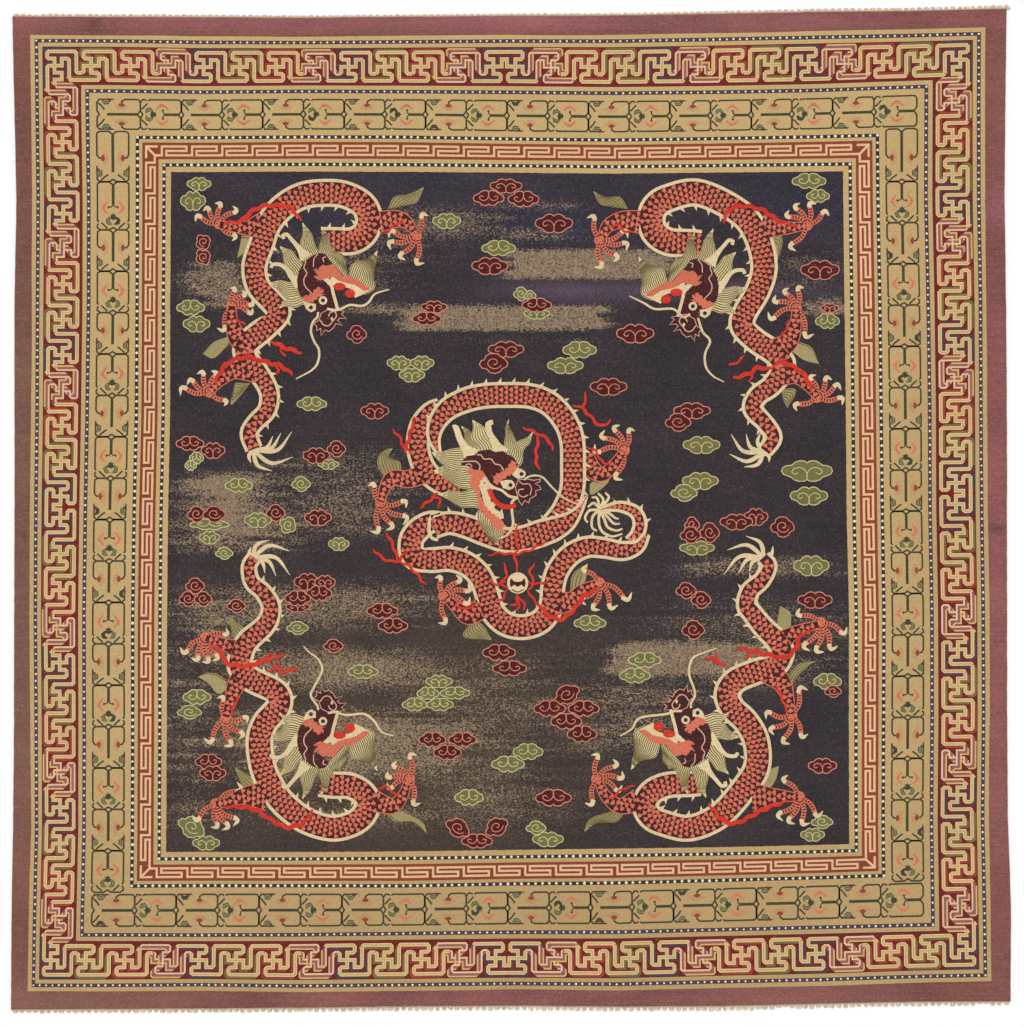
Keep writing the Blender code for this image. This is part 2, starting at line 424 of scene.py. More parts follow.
# Each row holds the station along the side, then the pile edge, outer line, fret guard, field guard
# and field there.
HEAD_LINES = (
    (12, 16.5, 34.6, 90.8, 137.3, 172.0), (110, 16.8, 35.0, 91.0, 137.2, 172.0),
    (200, 17.0, 36.4, 92.2, 137.7, 171.9), (304, 17.6, 36.8, 91.3, 136.9, 171.3),
    (408, 16.6, 35.9, 91.7, 137.1, 171.7), (512, 15.6, 34.9, 92.3, 138.9, 172.5),
    (616, 15.4, 35.0, 93.3, 140.0, 173.5), (720, 13.6, 33.1, 92.3, 138.6, 172.4),
    (824, 11.7, 31.0, 90.4, 136.7, 171.4), (914, 10.9, 29.5, 87.1, 134.5, 170.5),
    (1006, 8.6, 27.0, 84.0, 132.5, 169.5),
)
FOOT_LINES = (
    (12, 1009.5, 991.4, 935.0, 886.5, 852.5), (110, 1009.0, 991.4, 934.9, 886.2, 852.3),
    (200, 1008.5, 990.6, 935.2, 885.6, 852.0), (304, 1007.7, 992.1, 934.8, 885.7, 852.2),
    (408, 1006.2, 990.9, 933.5, 885.9, 851.5), (512, 1005.5, 989.7, 932.3, 883.8, 850.1),
    (616, 1006.4, 990.4, 932.2, 883.0, 848.7), (720, 1006.0, 988.0, 929.7, 880.3, 847.4),
    (824, 1003.5, 985.8, 927.3, 877.5, 845.0), (914, 1001.7, 982.6, 925.2, 874.5, 842.5),
    (1006, 1001.4, 981.0, 923.0, 873.0, 841.0),
)
LEFT_LINES = (
    (16, 12.1, 30.0, 86.8, 137.0, 171.0), (110, 14.2, 31.2, 87.3, 137.4, 171.0),
    (200, 16.2, 32.2, 88.7, 137.5, 170.7), (304, 14.2, 31.4, 88.6, 137.1, 170.0),
    (409, 14.3, 31.2, 87.1, 136.5, 170.0), (513, 14.3, 29.9, 85.2, 134.1, 167.8),
    (618, 13.9, 29.5, 83.9, 132.7, 166.8), (722, 13.8, 30.4, 84.2, 132.7, 166.6),
    (827, 12.8, 30.9, 84.0, 132.4, 166.1), (917, 11.2, 28.7, 82.1, 131.5, 165.5),
    (1007, 10.8, 27.4, 80.5, 130.5, 164.5),
)
RIGHT_LINES = (
    (16, 1006.8, 985.4, 926.4, 877.0, 843.0), (110, 1005.5, 984.9, 926.3, 877.1, 843.0),
    (200, 1004.7, 985.1, 925.9, 877.9, 843.4), (304, 1006.2, 986.8, 928.2, 879.9, 844.7),
    (409, 1007.0, 987.0, 929.7, 881.1, 845.9), (513, 1007.2, 987.8, 930.0, 882.3, 846.8),
    (618, 1007.2, 989.4, 931.9, 884.0, 849.3), (722, 1007.3, 989.8, 932.2, 883.6, 849.0),
    (827, 1008.0, 988.7, 931.4, 883.1, 849.3), (917, 1011.2, 990.6, 932.8, 883.9, 850.0),
    (1007, 1010.7, 992.0, 934.0, 885.0, 851.0),
)


def pulled_along(depth, station, near, far, side):
    """Where a paper depth between two facing sides really lies, at the given stations."""
    near, far = np.array(near), np.array(far)
    stops = [*LINE_DEPTHS, *(side - depth_in for depth_in in reversed(LINE_DEPTHS))]
    lines = [np.interp(station, near[:, 0], near[:, k]) for k in range(1, 6)]
    lines += [np.interp(station, far[:, 0], far[:, k]) for k in range(5, 0, -1)]
    found = np.zeros(len(depth))
    last = len(stops) - 2
    for k in range(last + 1):
        share = (depth - stops[k]) / (stops[k + 1] - stops[k])
        inside = ((share >= 0) | (k == 0)) & ((share <= 1) | (k == last))
        found = np.where(inside, lines[k] + (lines[k + 1] - lines[k]) * share, found)
    return found


def on_border(paper):
    """Points of the even border drawing, at their real columns and rows."""
    x, y = paper[:, 0], paper[:, 1]
    columns = pulled_along(x, y + PAPER_START[1], LEFT_LINES, RIGHT_LINES, PAPER[0])
    rows = pulled_along(y, x + PAPER_START[0], HEAD_LINES, FOOT_LINES, PAPER[1])
    return np.stack([columns, rows], 1)


def frame_of(depth):
    """The rectangle on paper that lies that deep inside the border's outer line."""
    far_x, far_y = PAPER[0] - depth, PAPER[1] - depth
    return [(depth, depth), (far_x, depth), (far_x, far_y), (depth, far_y)]


def hoop(bed, depth, width, dye_name, rise=0.0):
    """A line that runs round the carpet at one depth, as four ribbons with mitred ends."""
    outer, inner = frame_of(depth - width / 2), frame_of(depth + width / 2)
    for k in range(4):
        after = (k + 1) % 4
        outline = [outer[k], outer[after], inner[after], inner[k]]
        bed.shape(scattered(outline), dye_name, rise, on_border)


print("the corners of the field lie at", on_border(np.array(frame_of(138.0))).round(1).tolist())

# %% [markdown]
# ## The cloth
# Under the drawing lies one closed cloth: a woven back, a soft rounded edge where the pile leans
# out, and the plain plum guard band. The edge could be a bevel on a slab, but this cloth is uneven
# all round, so it is spanned between hoops, each at one depth and height. Soft stains are held on
# the points of its mesh.

# %% Soft stains and hoops
PER_SIDE, HOOP_SEED = 124, 7  # points along each side, and what fixes their unevenness
WAVE_HEIGHT = 0.12  # mm


# Each stain holds its column, its row, its reach along both, its dye and how strong it is.
def stained(points, base, stains):
    """The base dye at each chart point, with soft stains laid over it in turn."""
    colour = np.tile(dye(base), (len(points), 1))
    for column, row, reach_x, reach_y, stain, strength in stains:
        away = ((points[:, 0] - column) / reach_x) ** 2 + ((points[:, 1] - row) / reach_y) ** 2
        share = (strength * np.exp(-away))[:, None]
        colour = colour + (np.array(dye(stain)) - colour) * share
    return colour


def round_course(depth, seed=0, jitter=0.0):
    """Points all the way round at one depth, evenly spread on each side."""
    lot = np.random.default_rng(seed)
    corners = np.array(frame_of(depth))
    shares = np.linspace(0, 1, PER_SIDE, endpoint=False)[:, None]
    parts = [start + (end - start) * shares for start, end in zip(corners, np.roll(corners, -1, 0))]
    knots = on_border(np.vstack(parts))
    outward = knots - CHART_MIDDLE
    outward = outward / np.hypot(*outward.T)[:, None]
    return knots + outward * lot.uniform(-jitter, jitter, len(knots))[:, None]


def spanned(name, hoops_held, base, stains, closed=False):
    """A mesh through hoops of (depth, height in mm, jitter). A closed one has a face in both ends."""
    courses = [round_course(depth, HOOP_SEED, jitter) for depth, _, jitter in hoops_held]
    count = len(courses[0])
    wave = np.sin(np.arange(count) * 0.21) + np.sin(np.arange(count) * 0.083 + 1)
    points, faces = [], []
    for course, (depth, height, _) in zip(courses, hoops_held):
        lift = WAVE_HEIGHT * wave * (8 < height < 8.45)  # the guard band alone is wavy
        points.append(np.column_stack([on_floor(course), (height + lift) * MM]))
    for ring in range(len(courses) - 1):
        for k in range(count):
            after = (k + 1) % count
            start, end = ring * count, (ring + 1) * count
            faces.append([start + k, start + after, end + after, end + k])
    if closed:
        last = (len(courses) - 1) * count
        faces.append(list(range(count))[::-1])
        faces.append([last + k for k in range(count)])
    mesh = bpy.data.meshes.new(name)
    mesh.from_pydata(np.vstack(points).tolist(), [], [face[::-1] for face in faces])
    colours = mesh.attributes.new("dye", "FLOAT_COLOR", "POINT")
    colours.data.foreach_set("color", stained(np.vstack(courses), base, stains).ravel())
    return mesh


# %% The cloth and its plum guard band
GUARD_STAINS = (
    (16, 560, 40, 330, "umber plum", 0.8), (60, 1003, 150, 22, "umber plum", 0.6),
    (480, 20, 520, 13, "faded plum", 0.75), (997, 560, 14, 420, "faded plum", 0.45),
    (600, 1000, 420, 14, "faded plum", 0.35), (997, 212, 14, 22, "faded plum", 0.7),
    (95, 24, 9, 12, "dark plum", 0.6), (118, 22, 5, 12, "dark plum", 0.4),
    (700, 22, 60, 12, "dark plum", 0.3), (300, 20, 90, 9, "dark plum", 0.25),
    (24, 533, 2.5, 3, "soot", 0.9), (20, 549, 2.5, 2.5, "soot", 0.8), (998, 528, 10, 2.2, "soot", 0.55),
    (996, 420, 8, 26, "dark plum", 0.3), (999, 900, 8, 50, "dark plum", 0.3),
)
EDGE_DEPTH = LINE_DEPTHS[0]
cloth_hoops = [(EDGE_DEPTH + inset, height, 0.18) for inset, height in (
    (0.9, 0.0), (0.25, 0.9), (0.0, 3.0), (0.1, 5.6), (0.45, 7.4), (1.1, 8.2))]
cloth_hoops += [(EDGE_DEPTH + inset, 8.4, 0.0) for inset in (2.4, 5, 8, 11, 14, 17.6)]
cloth_hoops += [(4.0, 7.4, 0.0)]
cloth_mesh = spanned("carpet_cloth", cloth_hoops, "plum", GUARD_STAINS, closed=True)
guard_wool = wool("plum guard wool", knot_tone=0.42, band_tone=0.4, blotch_tone=0.85, wear=0.26)
cloth = placed(cloth_mesh, guard_wool)
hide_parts("carpet")

# %% [markdown]
# ## The back
# The back of a knotted carpet shows the knots' loops in rows, without pile. A turned corner would
# show it, so it has its own finish: rows of small loops in the dull mixed colour of all the dyes.


# %% The woven back
def woven_back():
    finish = Finish("woven back", roughness=0.95, sheen=0.0)
    place = finish.place()
    values = {"Vector": place, "Scale": math.pi / KNOT / 20, "Distortion": 0.6}
    loops, picks = (finish.node("ShaderNodeTexWave", {"wave_type": "BANDS", "bands_direction": side}, values)
                    for side in "XY")
    knots = finish.by_knot(place)
    cloth_colour = finish.mixed(dye("brown night"), dye("straw"), 0.25 + 0.5 * knots)
    finish.feed("Base Color", finish.toned(cloth_colour, 0.7 + 0.3 * loops * picks))
    finish.bumped(loops * picks, 0.6 * MM)
    return finish.material


cloth_mesh.materials.append(woven_back())
for face in cloth_mesh.polygons:
    if face.normal.z < -0.5:
        face.material_index = 1

# %% [markdown]
# ## The camel ground
# All the borders stand on one ground of undyed camel wool, paler and greener at the head end and
# redder towards the foot. It is spanned between hoops too, so that it follows the uneven lines.

# %% The ground under the borders
FIELD_DEPTH = LINE_DEPTHS[-1]
CAMEL_STAINS = (
    (510, 40, 700, 120, "camel", 1.0), (510, 960, 700, 150, "foot camel", 0.9),
    (950, 520, 70, 420, "foot camel", 0.55), (60, 520, 70, 420, "straw", 0.5),
)
ground_hoops = [(-0.3, 7.9, 0.12), (0.0, 8.5, 0.12)]
ground_hoops += [(depth, 8.5, 0.0) for depth in (9, 20, 31, 42, 52, 66, 80, 94, 108, 122, 133)]
ground_hoops += [(FIELD_DEPTH + 0.2, 8.5, 0.1), (FIELD_DEPTH + 0.4, 7.5, 0.1)]
ground_wool = wool("camel ground wool", knot_tone=0.2, band_tone=0.12, blotch_tone=0.2, wear=0.0)
placed(spanned("border_ground", ground_hoops, "camel", CAMEL_STAINS), ground_wool)

# %% [markdown]
# ## Pearl guards
# Four narrow dark stripes with a row of pearls part the borders. The two outer ones hold small
# pearls. In the two inner ones the pearls are as tall as the stripe, so that it reads as dark and
# light blocks. Each pearl is cut on its own, as no two of them are quite the same.

# %% Four pearl guards
PEARL_GUARDS = (
    # depth, stripe width, pitch, pearl across, stripe dye
    (6.1, 3.7, 6.75, 2.3, "mauve soot"),
    (57.0, 3.7, 6.9, 2.3, "mauve soot"),
    (104.2, 3.4, 6.9, 3.0, "soot"),
    (131.2, 3.3, 6.9, 3.0, "soot"),
)
stripe_bed = Bed("pearl_stripes", 8.62)
pearl_bed = Bed("pearls", 8.8)


def blob(centre, width, height, corners):
    angles = math.pi / corners + np.arange(corners) * 2 * math.pi / corners
    return np.stack([centre[0] + np.cos(angles) * width / 2, centre[1] + np.sin(angles) * height / 2], 1)


lot = random.Random(4)
for depth, stripe, pitch, across_it, stripe_dye in PEARL_GUARDS:
    hoop(stripe_bed, depth, stripe, stripe_dye)
    corners = np.array(frame_of(depth))
    for start, end in zip(corners, np.roll(corners, -1, 0)):
        count = round(float(np.hypot(*(end - start))) / pitch)
        for n in range(count):
            spot = start + (end - start) * n / count
            spot = spot + (lot.uniform(-0.25, 0.25), lot.uniform(-0.2, 0.2))
            size = across_it * lot.uniform(0.86, 1.08)
            outline = blob(spot, size, size * lot.uniform(0.9, 1.1), 6)
            pearl_bed.shape(outline, "pearl", 0.0, on_border)

border_wool = wool("border wool", knot_tone=0.2, band_tone=0.1, blotch_tone=0.14, wear=0.22)
stripe_bed.woven(border_wool)
pearl_bed.woven(wool("pearl wool", knot_tone=0.24, band_tone=0.1, blotch_tone=0.2, wear=0.1))

# %% [markdown]
# ## The great fret
# The widest border is a Chinese key fret of two camel bands on madder red. Both bands pass
# through every crossing, so a unit is two short walks on a grid of five by five cells. Beside each
# band runs a narrow shade in navy, olive or brick, and every fourth unit is three thin stripes
# instead. The fret turns round at the middle of each side and at each corner, so one half side is
# walked eight times, mirrored as needed.

# %% The grid of the fret
ROW_START, ROW_STEP = 16.85, 7.275  # depth of the first grid line, and from one to the next
BAND, CORE = 3.6, 1.8  # how wide a band is, and the darker core of it
SHADE_SHIFT = 2.35
UNITS = 12  # whole units between a corner and the middle of a side
MIDDLE_CELL = 2.5
FRET_MIDDLES = {"head": 475.7, "foot": 477.4, "left": 472.3, "right": 464.6}
RUN_DYES = {"row": ("navy", "olive", "brick", "mauve"), "column": ("navy", "mauve", "brick", "olive")}

# Two walks from one crossing to the next, as (cell along, grid row), each cut where the dye changes.
OUTER_WALK = [(1, 2), (1, 1), (0, 1), (0, 0), (4, 0), (4, 3), (5, 3), (5, 2), (6, 2)]
INNER_WALK = [(1, 2), (2, 2), (2, 1), (3, 1), (3, 4), (7, 4), (7, 3), (6, 3), (6, 2)]
CUTS = {"row": ((5, 3), (3, 4)), "column": ((4, 0), (3, 1))}
# A column starts at the corner's crossing, so its first walks differ.
CORNER_OUTER = [(0, 1), *OUTER_WALK[3:]]
CORNER_INNER = [(0, 1), (1, 1), *INNER_WALK]
# The unit at the middle of a side goes on to its axis alone.
MIDDLE_WALKS = (
    [(1, 2), (1, 1), (0, 1), (0, 0), (MIDDLE_CELL, 0)], [(1, 2), (2.15, 2), (2.15, 1), (MIDDLE_CELL, 1)],
)
SOFT_CORNERS = {(4, 0), (4, 3), (3, 1), (3, 4), (7, 4), (0, 1), (7, 3), (5, 3), (0, 0)}
# A mauve unit has three stripes: how far each is from the course, its width and its dye.
MAUVE_STRIPES = ((0.9, 1.75, "blush"), (-1.15, 2.4, "mauve"), (-3.1, 1.7, "gold"))


def softened(walk, at, cut=1.5):
    """The walk as points, with the weaver's clipped corners at the named cells."""
    points = [np.array(at(cell)) for cell in walk]
    course = [points[0]]
    for k in range(1, len(walk) - 1):
        if walk[k] in SOFT_CORNERS:
            for near in (points[k - 1], points[k + 1]):
                away = near - points[k]
                course.append(points[k] + away * cut / np.hypot(*away))
        else:
            course.append(points[k])
    course.append(points[-1])
    return np.array(course)


# %% Walking the fret
fret_ground_bed = Bed("fret_ground", 8.6)
shade_bed = Bed("fret_shades", 8.72)
fret_bed = Bed("fret_bands", 8.88)


def fret_band(course, dye_name, chart):
    """One length of band with its shade, or with three stripes in a mauve unit."""
    course = scattered(course, 12, closed=False)
    if dye_name == "mauve":
        for shift, width, stripe in MAUVE_STRIPES:
            fret_bed.ribbon(course + shift, width, stripe, 0.02 * shift, chart)
    else:
        shade_bed.ribbon(course - SHADE_SHIFT, BAND, dye_name, 0.0, chart)
        fret_bed.ribbon(course, BAND, "fret light", 0.0, chart)
        fret_bed.ribbon(course, CORE, "camel", 0.1, chart)


def walk_half(kind, middle, flip_x, flip_y):
    """The fret from one corner to the middle of a side. A row runs along the head or foot."""
    begin = ROW_START if kind == "row" else ROW_START + 2 * ROW_STEP
    cell_size = (middle - begin) / (5 * UNITS + MIDDLE_CELL)

    def at(cell):
        along, depth = begin + cell[0] * cell_size, ROW_START + cell[1] * ROW_STEP
        return (along, depth) if kind == "row" else (depth, along)

    def mirrored(paper):
        paper = paper.copy()
        if flip_x:
            paper[:, 0] = PAPER[0] - paper[:, 0]
        if flip_y:
            paper[:, 1] = PAPER[1] - paper[:, 1]
        return on_border(paper)

    for unit in range(UNITS):
        this, following = (RUN_DYES[kind][(unit + k) % 4] for k in (0, 1))
        at_corner = kind == "column" and unit == 0
        walks = (CORNER_OUTER, CORNER_INNER) if at_corner else (OUTER_WALK, INNER_WALK)
        for walk, cut in zip(walks, CUTS[kind]):
            course = softened(walk, lambda cell: at((cell[0] + 5 * unit, cell[1])))
            turn = np.array(at((cut[0] + 5 * unit, cut[1])))
            split = int(np.argmin(np.hypot(*(course - turn).T)))
            fret_band(course[: split + 1], this, mirrored)
            fret_band(course[split:], following, mirrored)
    for walk in MIDDLE_WALKS:
        fret_band(softened(walk, lambda cell: at((cell[0] + 5 * UNITS, cell[1]))), "navy", mirrored)


for flip_x in (False, True):
    for flip_y in (False, True):
        middle = FRET_MIDDLES["foot" if flip_y else "head"]
        walk_half("row", PAPER[0] - middle if flip_x else middle, flip_x, flip_y)
        middle = FRET_MIDDLES["right" if flip_x else "left"]
        walk_half("column", PAPER[1] - middle if flip_y else middle, flip_x, flip_y)

hoop(fret_ground_bed, 31.4, 37.4, "madder")
for depth in (12.4, 50.4):
    hoop(shade_bed, depth, 0.9, "dark madder")
for bed in (fret_ground_bed, shade_bed, fret_bed):
    bed.woven(border_wool)

# %% [markdown]
# ## The vine lattice
# Between the fret and the field a thin vine grows along a lattice: a stem, a line on each side of
# it, and a crossing at every panel. Two kinds of panel take turns: in one the leaves and flowers
# hang from the outer lines, in the other they grow on the stem. Each kind is drawn once, for one
# side of the stem, and laid down on both sides.

# %% Two kinds of panel
STEM_DEPTH, LINE_GAP = 80.7, 15.2  # the stem, and how far the lines lie from it
VINE_LINE = 1.65
vine_bed = Bed("vine_lines", 8.68)
flower_bed = Bed("vine_flowers", 8.82)


def panel(kind, length, chart):
    """One panel, from its crossing at 0 to the next at length. chart takes (along, from the stem)."""

    def line(points, width=VINE_LINE):
        for side in (1, -1):
            course = scattered(np.array(points, float) * (1, side), 12, False)
            vine_bed.ribbon(course, width, "vine", 0.0, chart)

    def curl(points, widths, colour):
        for side in (1, -1):
            course = flow(np.array(points, float) * (1, side), 2)
            flower_bed.ribbon(course, widths, colour, 0.0, chart)

    def petal(outline, colour):
        for side in (1, -1):
            flower_bed.shape(np.array(outline, float) * (1, side), colour, 0.0, chart)

    def stem(start):
        vine_bed.ribbon(scattered([(start, 0), (end - 3, 0)], 12, False), 2.7, "vine", 0.0, chart)

    gap, end = LINE_GAP, length
    line([(2.6, 0.4), (0.2, -3.4), (0, -gap + 3), (2.2, -gap), (5, -gap)])
    line([(end - 4, -gap), (end - 1.6, -gap + 0.3), (end - 0.1, -gap + 3), (end - 0.1, -3.8),
          (end - 2.8, -0.4)])
    vine_bed.ribbon([(end - 3.5, 0.0), (end - 1.8, 0.0)], 1.2, "vine", 0.0, chart)
    if kind == "hanging":
        line([(1.3, -gap + 3.5), (4.2, -gap + 6.5), (7.2, -4.6)])
        line([(5, -gap), (15.5, -gap - 0.2)], 1.5)
        line([(end - 4, -gap), (26.5, -gap), (23.6, -gap + 1.8), (23.2, -gap + 4.6)])
        for width, colour in ((3.8, "vine"), (2.0, "leaf")):
            curl([(4.6, -gap + 0.8), (7.6, -gap + 3.4), (10.2, -gap + 3.2), (11.8, -gap + 0.8)],
                 (0.8, width, width, 0.9), colour)
        petal([(10, -gap - 1.2), (13.4, -gap - 0.6), (17.4, -gap + 0.1), (13.6, -gap + 0.8),
               (12.2, -gap + 3.2), (10.8, -gap + 1.2)], "bud")
        for reach in (4.6, 6.6):
            for angle in np.radians(range(20, 170, 20)):
                x, y = reach * math.cos(angle), reach * 0.8 * math.sin(angle)
                petal(blob((23.2 + x, -gap + 5.2 + y), 1.5, 1.3, 4), "tan")
        petal([(19.8, -gap + 5.8), (21, -gap + 4.4), (23.2, -gap + 3.6), (25.6, -gap + 4.4),
               (26.8, -gap + 5.8), (25.2, -gap + 7.2), (23.2, -gap + 7.8), (21.4, -gap + 7.2)], "brick")
        stem(9.6)
    else:
        line([(6.4, -gap + 1.2), (5, -gap)])
        line([(8, -gap + 1.3), (9.4, -gap), (end - 4, -gap)])
        line([(1.4, -5.4), (7.2, -11.4)])
        for width, colour in ((3.6, "vine"), (1.9, "leaf")):
            curl([(5.4, -1.0), (7.0, -4.6), (9.6, -5.4), (11.6, -3.6), (10.6, -1.8)],
                 (0.8, width, width, width * 0.8, 0.8), colour)
        petal([(9.6, 0.2), (11, -2.6), (12.6, -4.2), (13.4, -2), (15.6, -3), (15, -1.2), (17, 0.2)], "vine")
        line([(24.4, -0.4), (22.8, -2), (22.8, -5.2)], 1.2)
        petal([(15.4, -5.6), (18.2, -9), (20.6, -11), (23, -11), (25.4, -9), (28.9, -5.6), (27.6, -4.9),
               (24.6, -7.2), (22, -8.1), (19.2, -7.2), (16.7, -4.9)], "bloom")
        petal([(20.4, -5.4), (21.4, -4.5), (22.4, -5.8), (23.4, -4.5), (24.4, -5.4), (22.6, -2.6)], "vine")
        stem(24.2)


# %% Laying the panels round the carpet
# The lengths of the panels, in shares. Columns are counted from the foot up, and their last ones are long.
ROW_LENGTHS = [1.0] * 20
LEFT_LENGTHS = [1.0] * 16 + [1.16, 1.2]
RIGHT_LENGTHS = [1.0] * 17 + [1.22]
ROW_END, COLUMN_END = 66.0, 98.2  # where rows and columns of panels start, on paper
KINDS = ("hanging", "on stem")


def lay_panels(shares, stem, is_column):
    """A row or a column of panels about a stem that lies at that depth on paper."""
    first = COLUMN_END if is_column else ROW_END
    last = PAPER[is_column] - first
    ends = first + (last - first) * np.cumsum([0.0, *shares]) / sum(shares)
    for k, (begin, length) in enumerate(zip(ends, np.diff(ends))):

        def chart(points, begin=begin):
            along, off = begin + points[:, 0], stem + points[:, 1]
            return on_border(np.stack([off, PAPER[1] - along] if is_column else [along, off], 1))

        panel(KINDS[(k + is_column) % 2], length, chart)


lay_panels(ROW_LENGTHS, STEM_DEPTH, False)
lay_panels(ROW_LENGTHS, PAPER[1] - STEM_DEPTH, False)
lay_panels(LEFT_LENGTHS, STEM_DEPTH, True)
lay_panels(RIGHT_LENGTHS, PAPER[0] - STEM_DEPTH, True)
vine_bed.woven(border_wool)
flower_bed.woven(border_wool)

# %% [markdown]
# ## The small fret
# Next to the field runs one peach thread on rust red that turns over and over on three rows. It
# is one long ribbon for each side. At the corners its rows simply turn the corner side by side.

# %% The small fret
SMALL_ROWS = (113.0, 117.35, 121.7)
SMALL_PITCH, THREAD = 30.2, 2.2
CORNER_LEG = 5.0  # how far the innermost row runs on from a corner
rust_bed = Bed("small_fret_ground", 8.6)
thread_bed = Bed("small_fret_thread", 8.74)
hoop(rust_bed, SMALL_ROWS[1], 16.4, "rust")


def small_fret(start, end, side):
    """The meander along one side. side takes (along, row) to paper."""
    outer, middle, inner = SMALL_ROWS
    count = round((end - start) / SMALL_PITCH)
    pitch = (end - start) / count
    walk = [(start, inner)]
    for k in range(count):
        begin = start + k * pitch
        walk += [(begin + 2.2, inner), (begin + 2.2, outer), (begin + pitch - 3.5, outer),
                 (begin + pitch - 3.5, middle), (begin + 6.7, middle), (begin + 6.7, inner)]
    walk.append((end, inner))
    thread(scattered([side(*cell) for cell in walk], 12, False))


def thread(course):
    thread_bed.ribbon(course, THREAD, "peach", 0.0, on_border)


far_x, far_y = PAPER
reach = SMALL_ROWS[2] + CORNER_LEG
small_fret(reach, far_x - reach, lambda along, row: (along, row))
small_fret(reach, far_x - reach, lambda along, row: (along, far_y - row))
small_fret(reach, far_y - reach, lambda along, row: (row, along))
small_fret(reach, far_y - reach, lambda along, row: (far_x - row, along))
# At each corner: the row, how far its two legs run, and where a short stitch from the corner ends.
CORNER_STITCHES = ((SMALL_ROWS[0], 11.7, (8.7, 8.7)), (SMALL_ROWS[2], CORNER_LEG, (1, 0)))
for row, leg, (stitch_x, stitch_y) in CORNER_STITCHES:
    for (x, y), to_x, to_y in zip(frame_of(row), (1, -1, -1, 1), (1, 1, -1, -1)):
        thread([(x + to_x * leg, y), (x, y), (x, y + to_y * leg)])
        thread([(x, y), (x + to_x * stitch_x, y + to_y * stitch_y)])
rust_bed.woven(border_wool)
thread_bed.woven(border_wool)

# %% [markdown]
# ## The night field
# The field is a very dark wool between brown, navy and violet. Iron in its dye has eaten the pile
# along whole weft rows, so that bands and streaks of pale warp show through, flat and lower than
# the rest. One even grid carries this: its points hold the dye and how far the pile is worn there,
# and sink with the wear. The finish breaks the wear up into streaks along the weft.

# %% Where the field is worn
FIELD_STEP = 3.2  # knots from one point of the grid to the next
FIELD_STAINS = (
    (505, 190, 420, 90, "violet night", 0.9), (230, 500, 120, 300, "night", 0.6),
    (700, 480, 160, 240, "night", 0.7), (400, 760, 260, 160, "brown night", 0.9),
    (760, 780, 160, 130, "night", 0.5), (545, 225, 60, 26, "deep navy", 0.8),
    (800, 200, 60, 40, "deep navy", 0.5), (330, 215, 60, 30, "deep navy", 0.3),
    (680, 291, 150, 9, "dusk violet", 0.8), (560, 291, 60, 10, "dusk violet", 0.8),
    (290.7, 663.8, 3.5, 3.5, "deep navy", 1.0), (470, 650, 90, 30, "brown night", 0.6),
)
# Each patch holds its left and right columns, its head and foot rows, how worn it is and how ragged
# its ends are.
WORN_PATCHES = (
    (506, 672, 247, 281, 0.76, 8), (345, 420, 300, 318, 0.60, 14), (402, 606, 303, 333, 0.72, 8),
    (400, 600, 334, 346, 0.30, 20), (196, 250, 257, 312, 0.56, 12), (182, 246, 262, 300, 0.50, 12),
    (380, 514, 200, 246, 0.36, 24), (490, 570, 222, 246, 0.40, 16), (495, 575, 196, 214, 0.40, 16),
    (808, 850, 296, 318, 0.62, 8), (770, 850, 246, 300, 0.30, 26), (171, 300, 475, 560, 0.5, 26),
    (188, 262, 468, 548, 0.84, 18), (196, 232, 596, 664, 0.66, 12), (175, 420, 572, 640, 0.44, 40),
    (215, 440, 640, 700, 0.56, 34), (200, 470, 700, 790, 0.6, 40), (240, 560, 790, 838, 0.44, 50),
    (420, 560, 640, 840, 0.32, 40), (171, 215, 600, 840, 0.44, 20), (607, 772, 640, 678, 0.70, 8),
    (560, 700, 672, 760, 0.38, 30), (680, 850, 552, 582, 0.44, 18), (440, 600, 500, 520, 0.30, 30),
    (300, 400, 225, 300, 0.32, 30), (280, 400, 440, 545, 0.34, 30), (660, 850, 590, 700, 0.30, 40),
)


def worn(points):
    """How far the pile is worn at each chart point, from 0 to 1. Patches end raggedly, row by row."""
    wear = np.zeros(len(points))
    rows = np.round(points[:, 1] / FIELD_STEP).astype(int)
    lot = np.random.default_rng(11)
    for left, right, head, foot, amount, ragged in WORN_PATCHES:
        ends = lot.normal(0, 0.7, (2, rows.max() + 1)) * ragged
        fade = 2.4 * ragged
        inside_x = np.clip((points[:, 0] - left - ends[0][rows]) / fade + 0.4, 0, 1)
        inside_x = inside_x * np.clip((right + ends[1][rows] - points[:, 0]) / fade + 0.4, 0, 1)
        inside_y = np.clip(np.minimum(points[:, 1] - head, foot - points[:, 1]) / (0.6 * ragged), 0, 1)
        wear = np.maximum(wear, amount * inside_x * inside_y)
    return wear


# %% The field's grid
FIELD_TOP, HOLLOW = 8.55, 1.1  # mm: the unworn pile, and how much lower the bare cloth lies


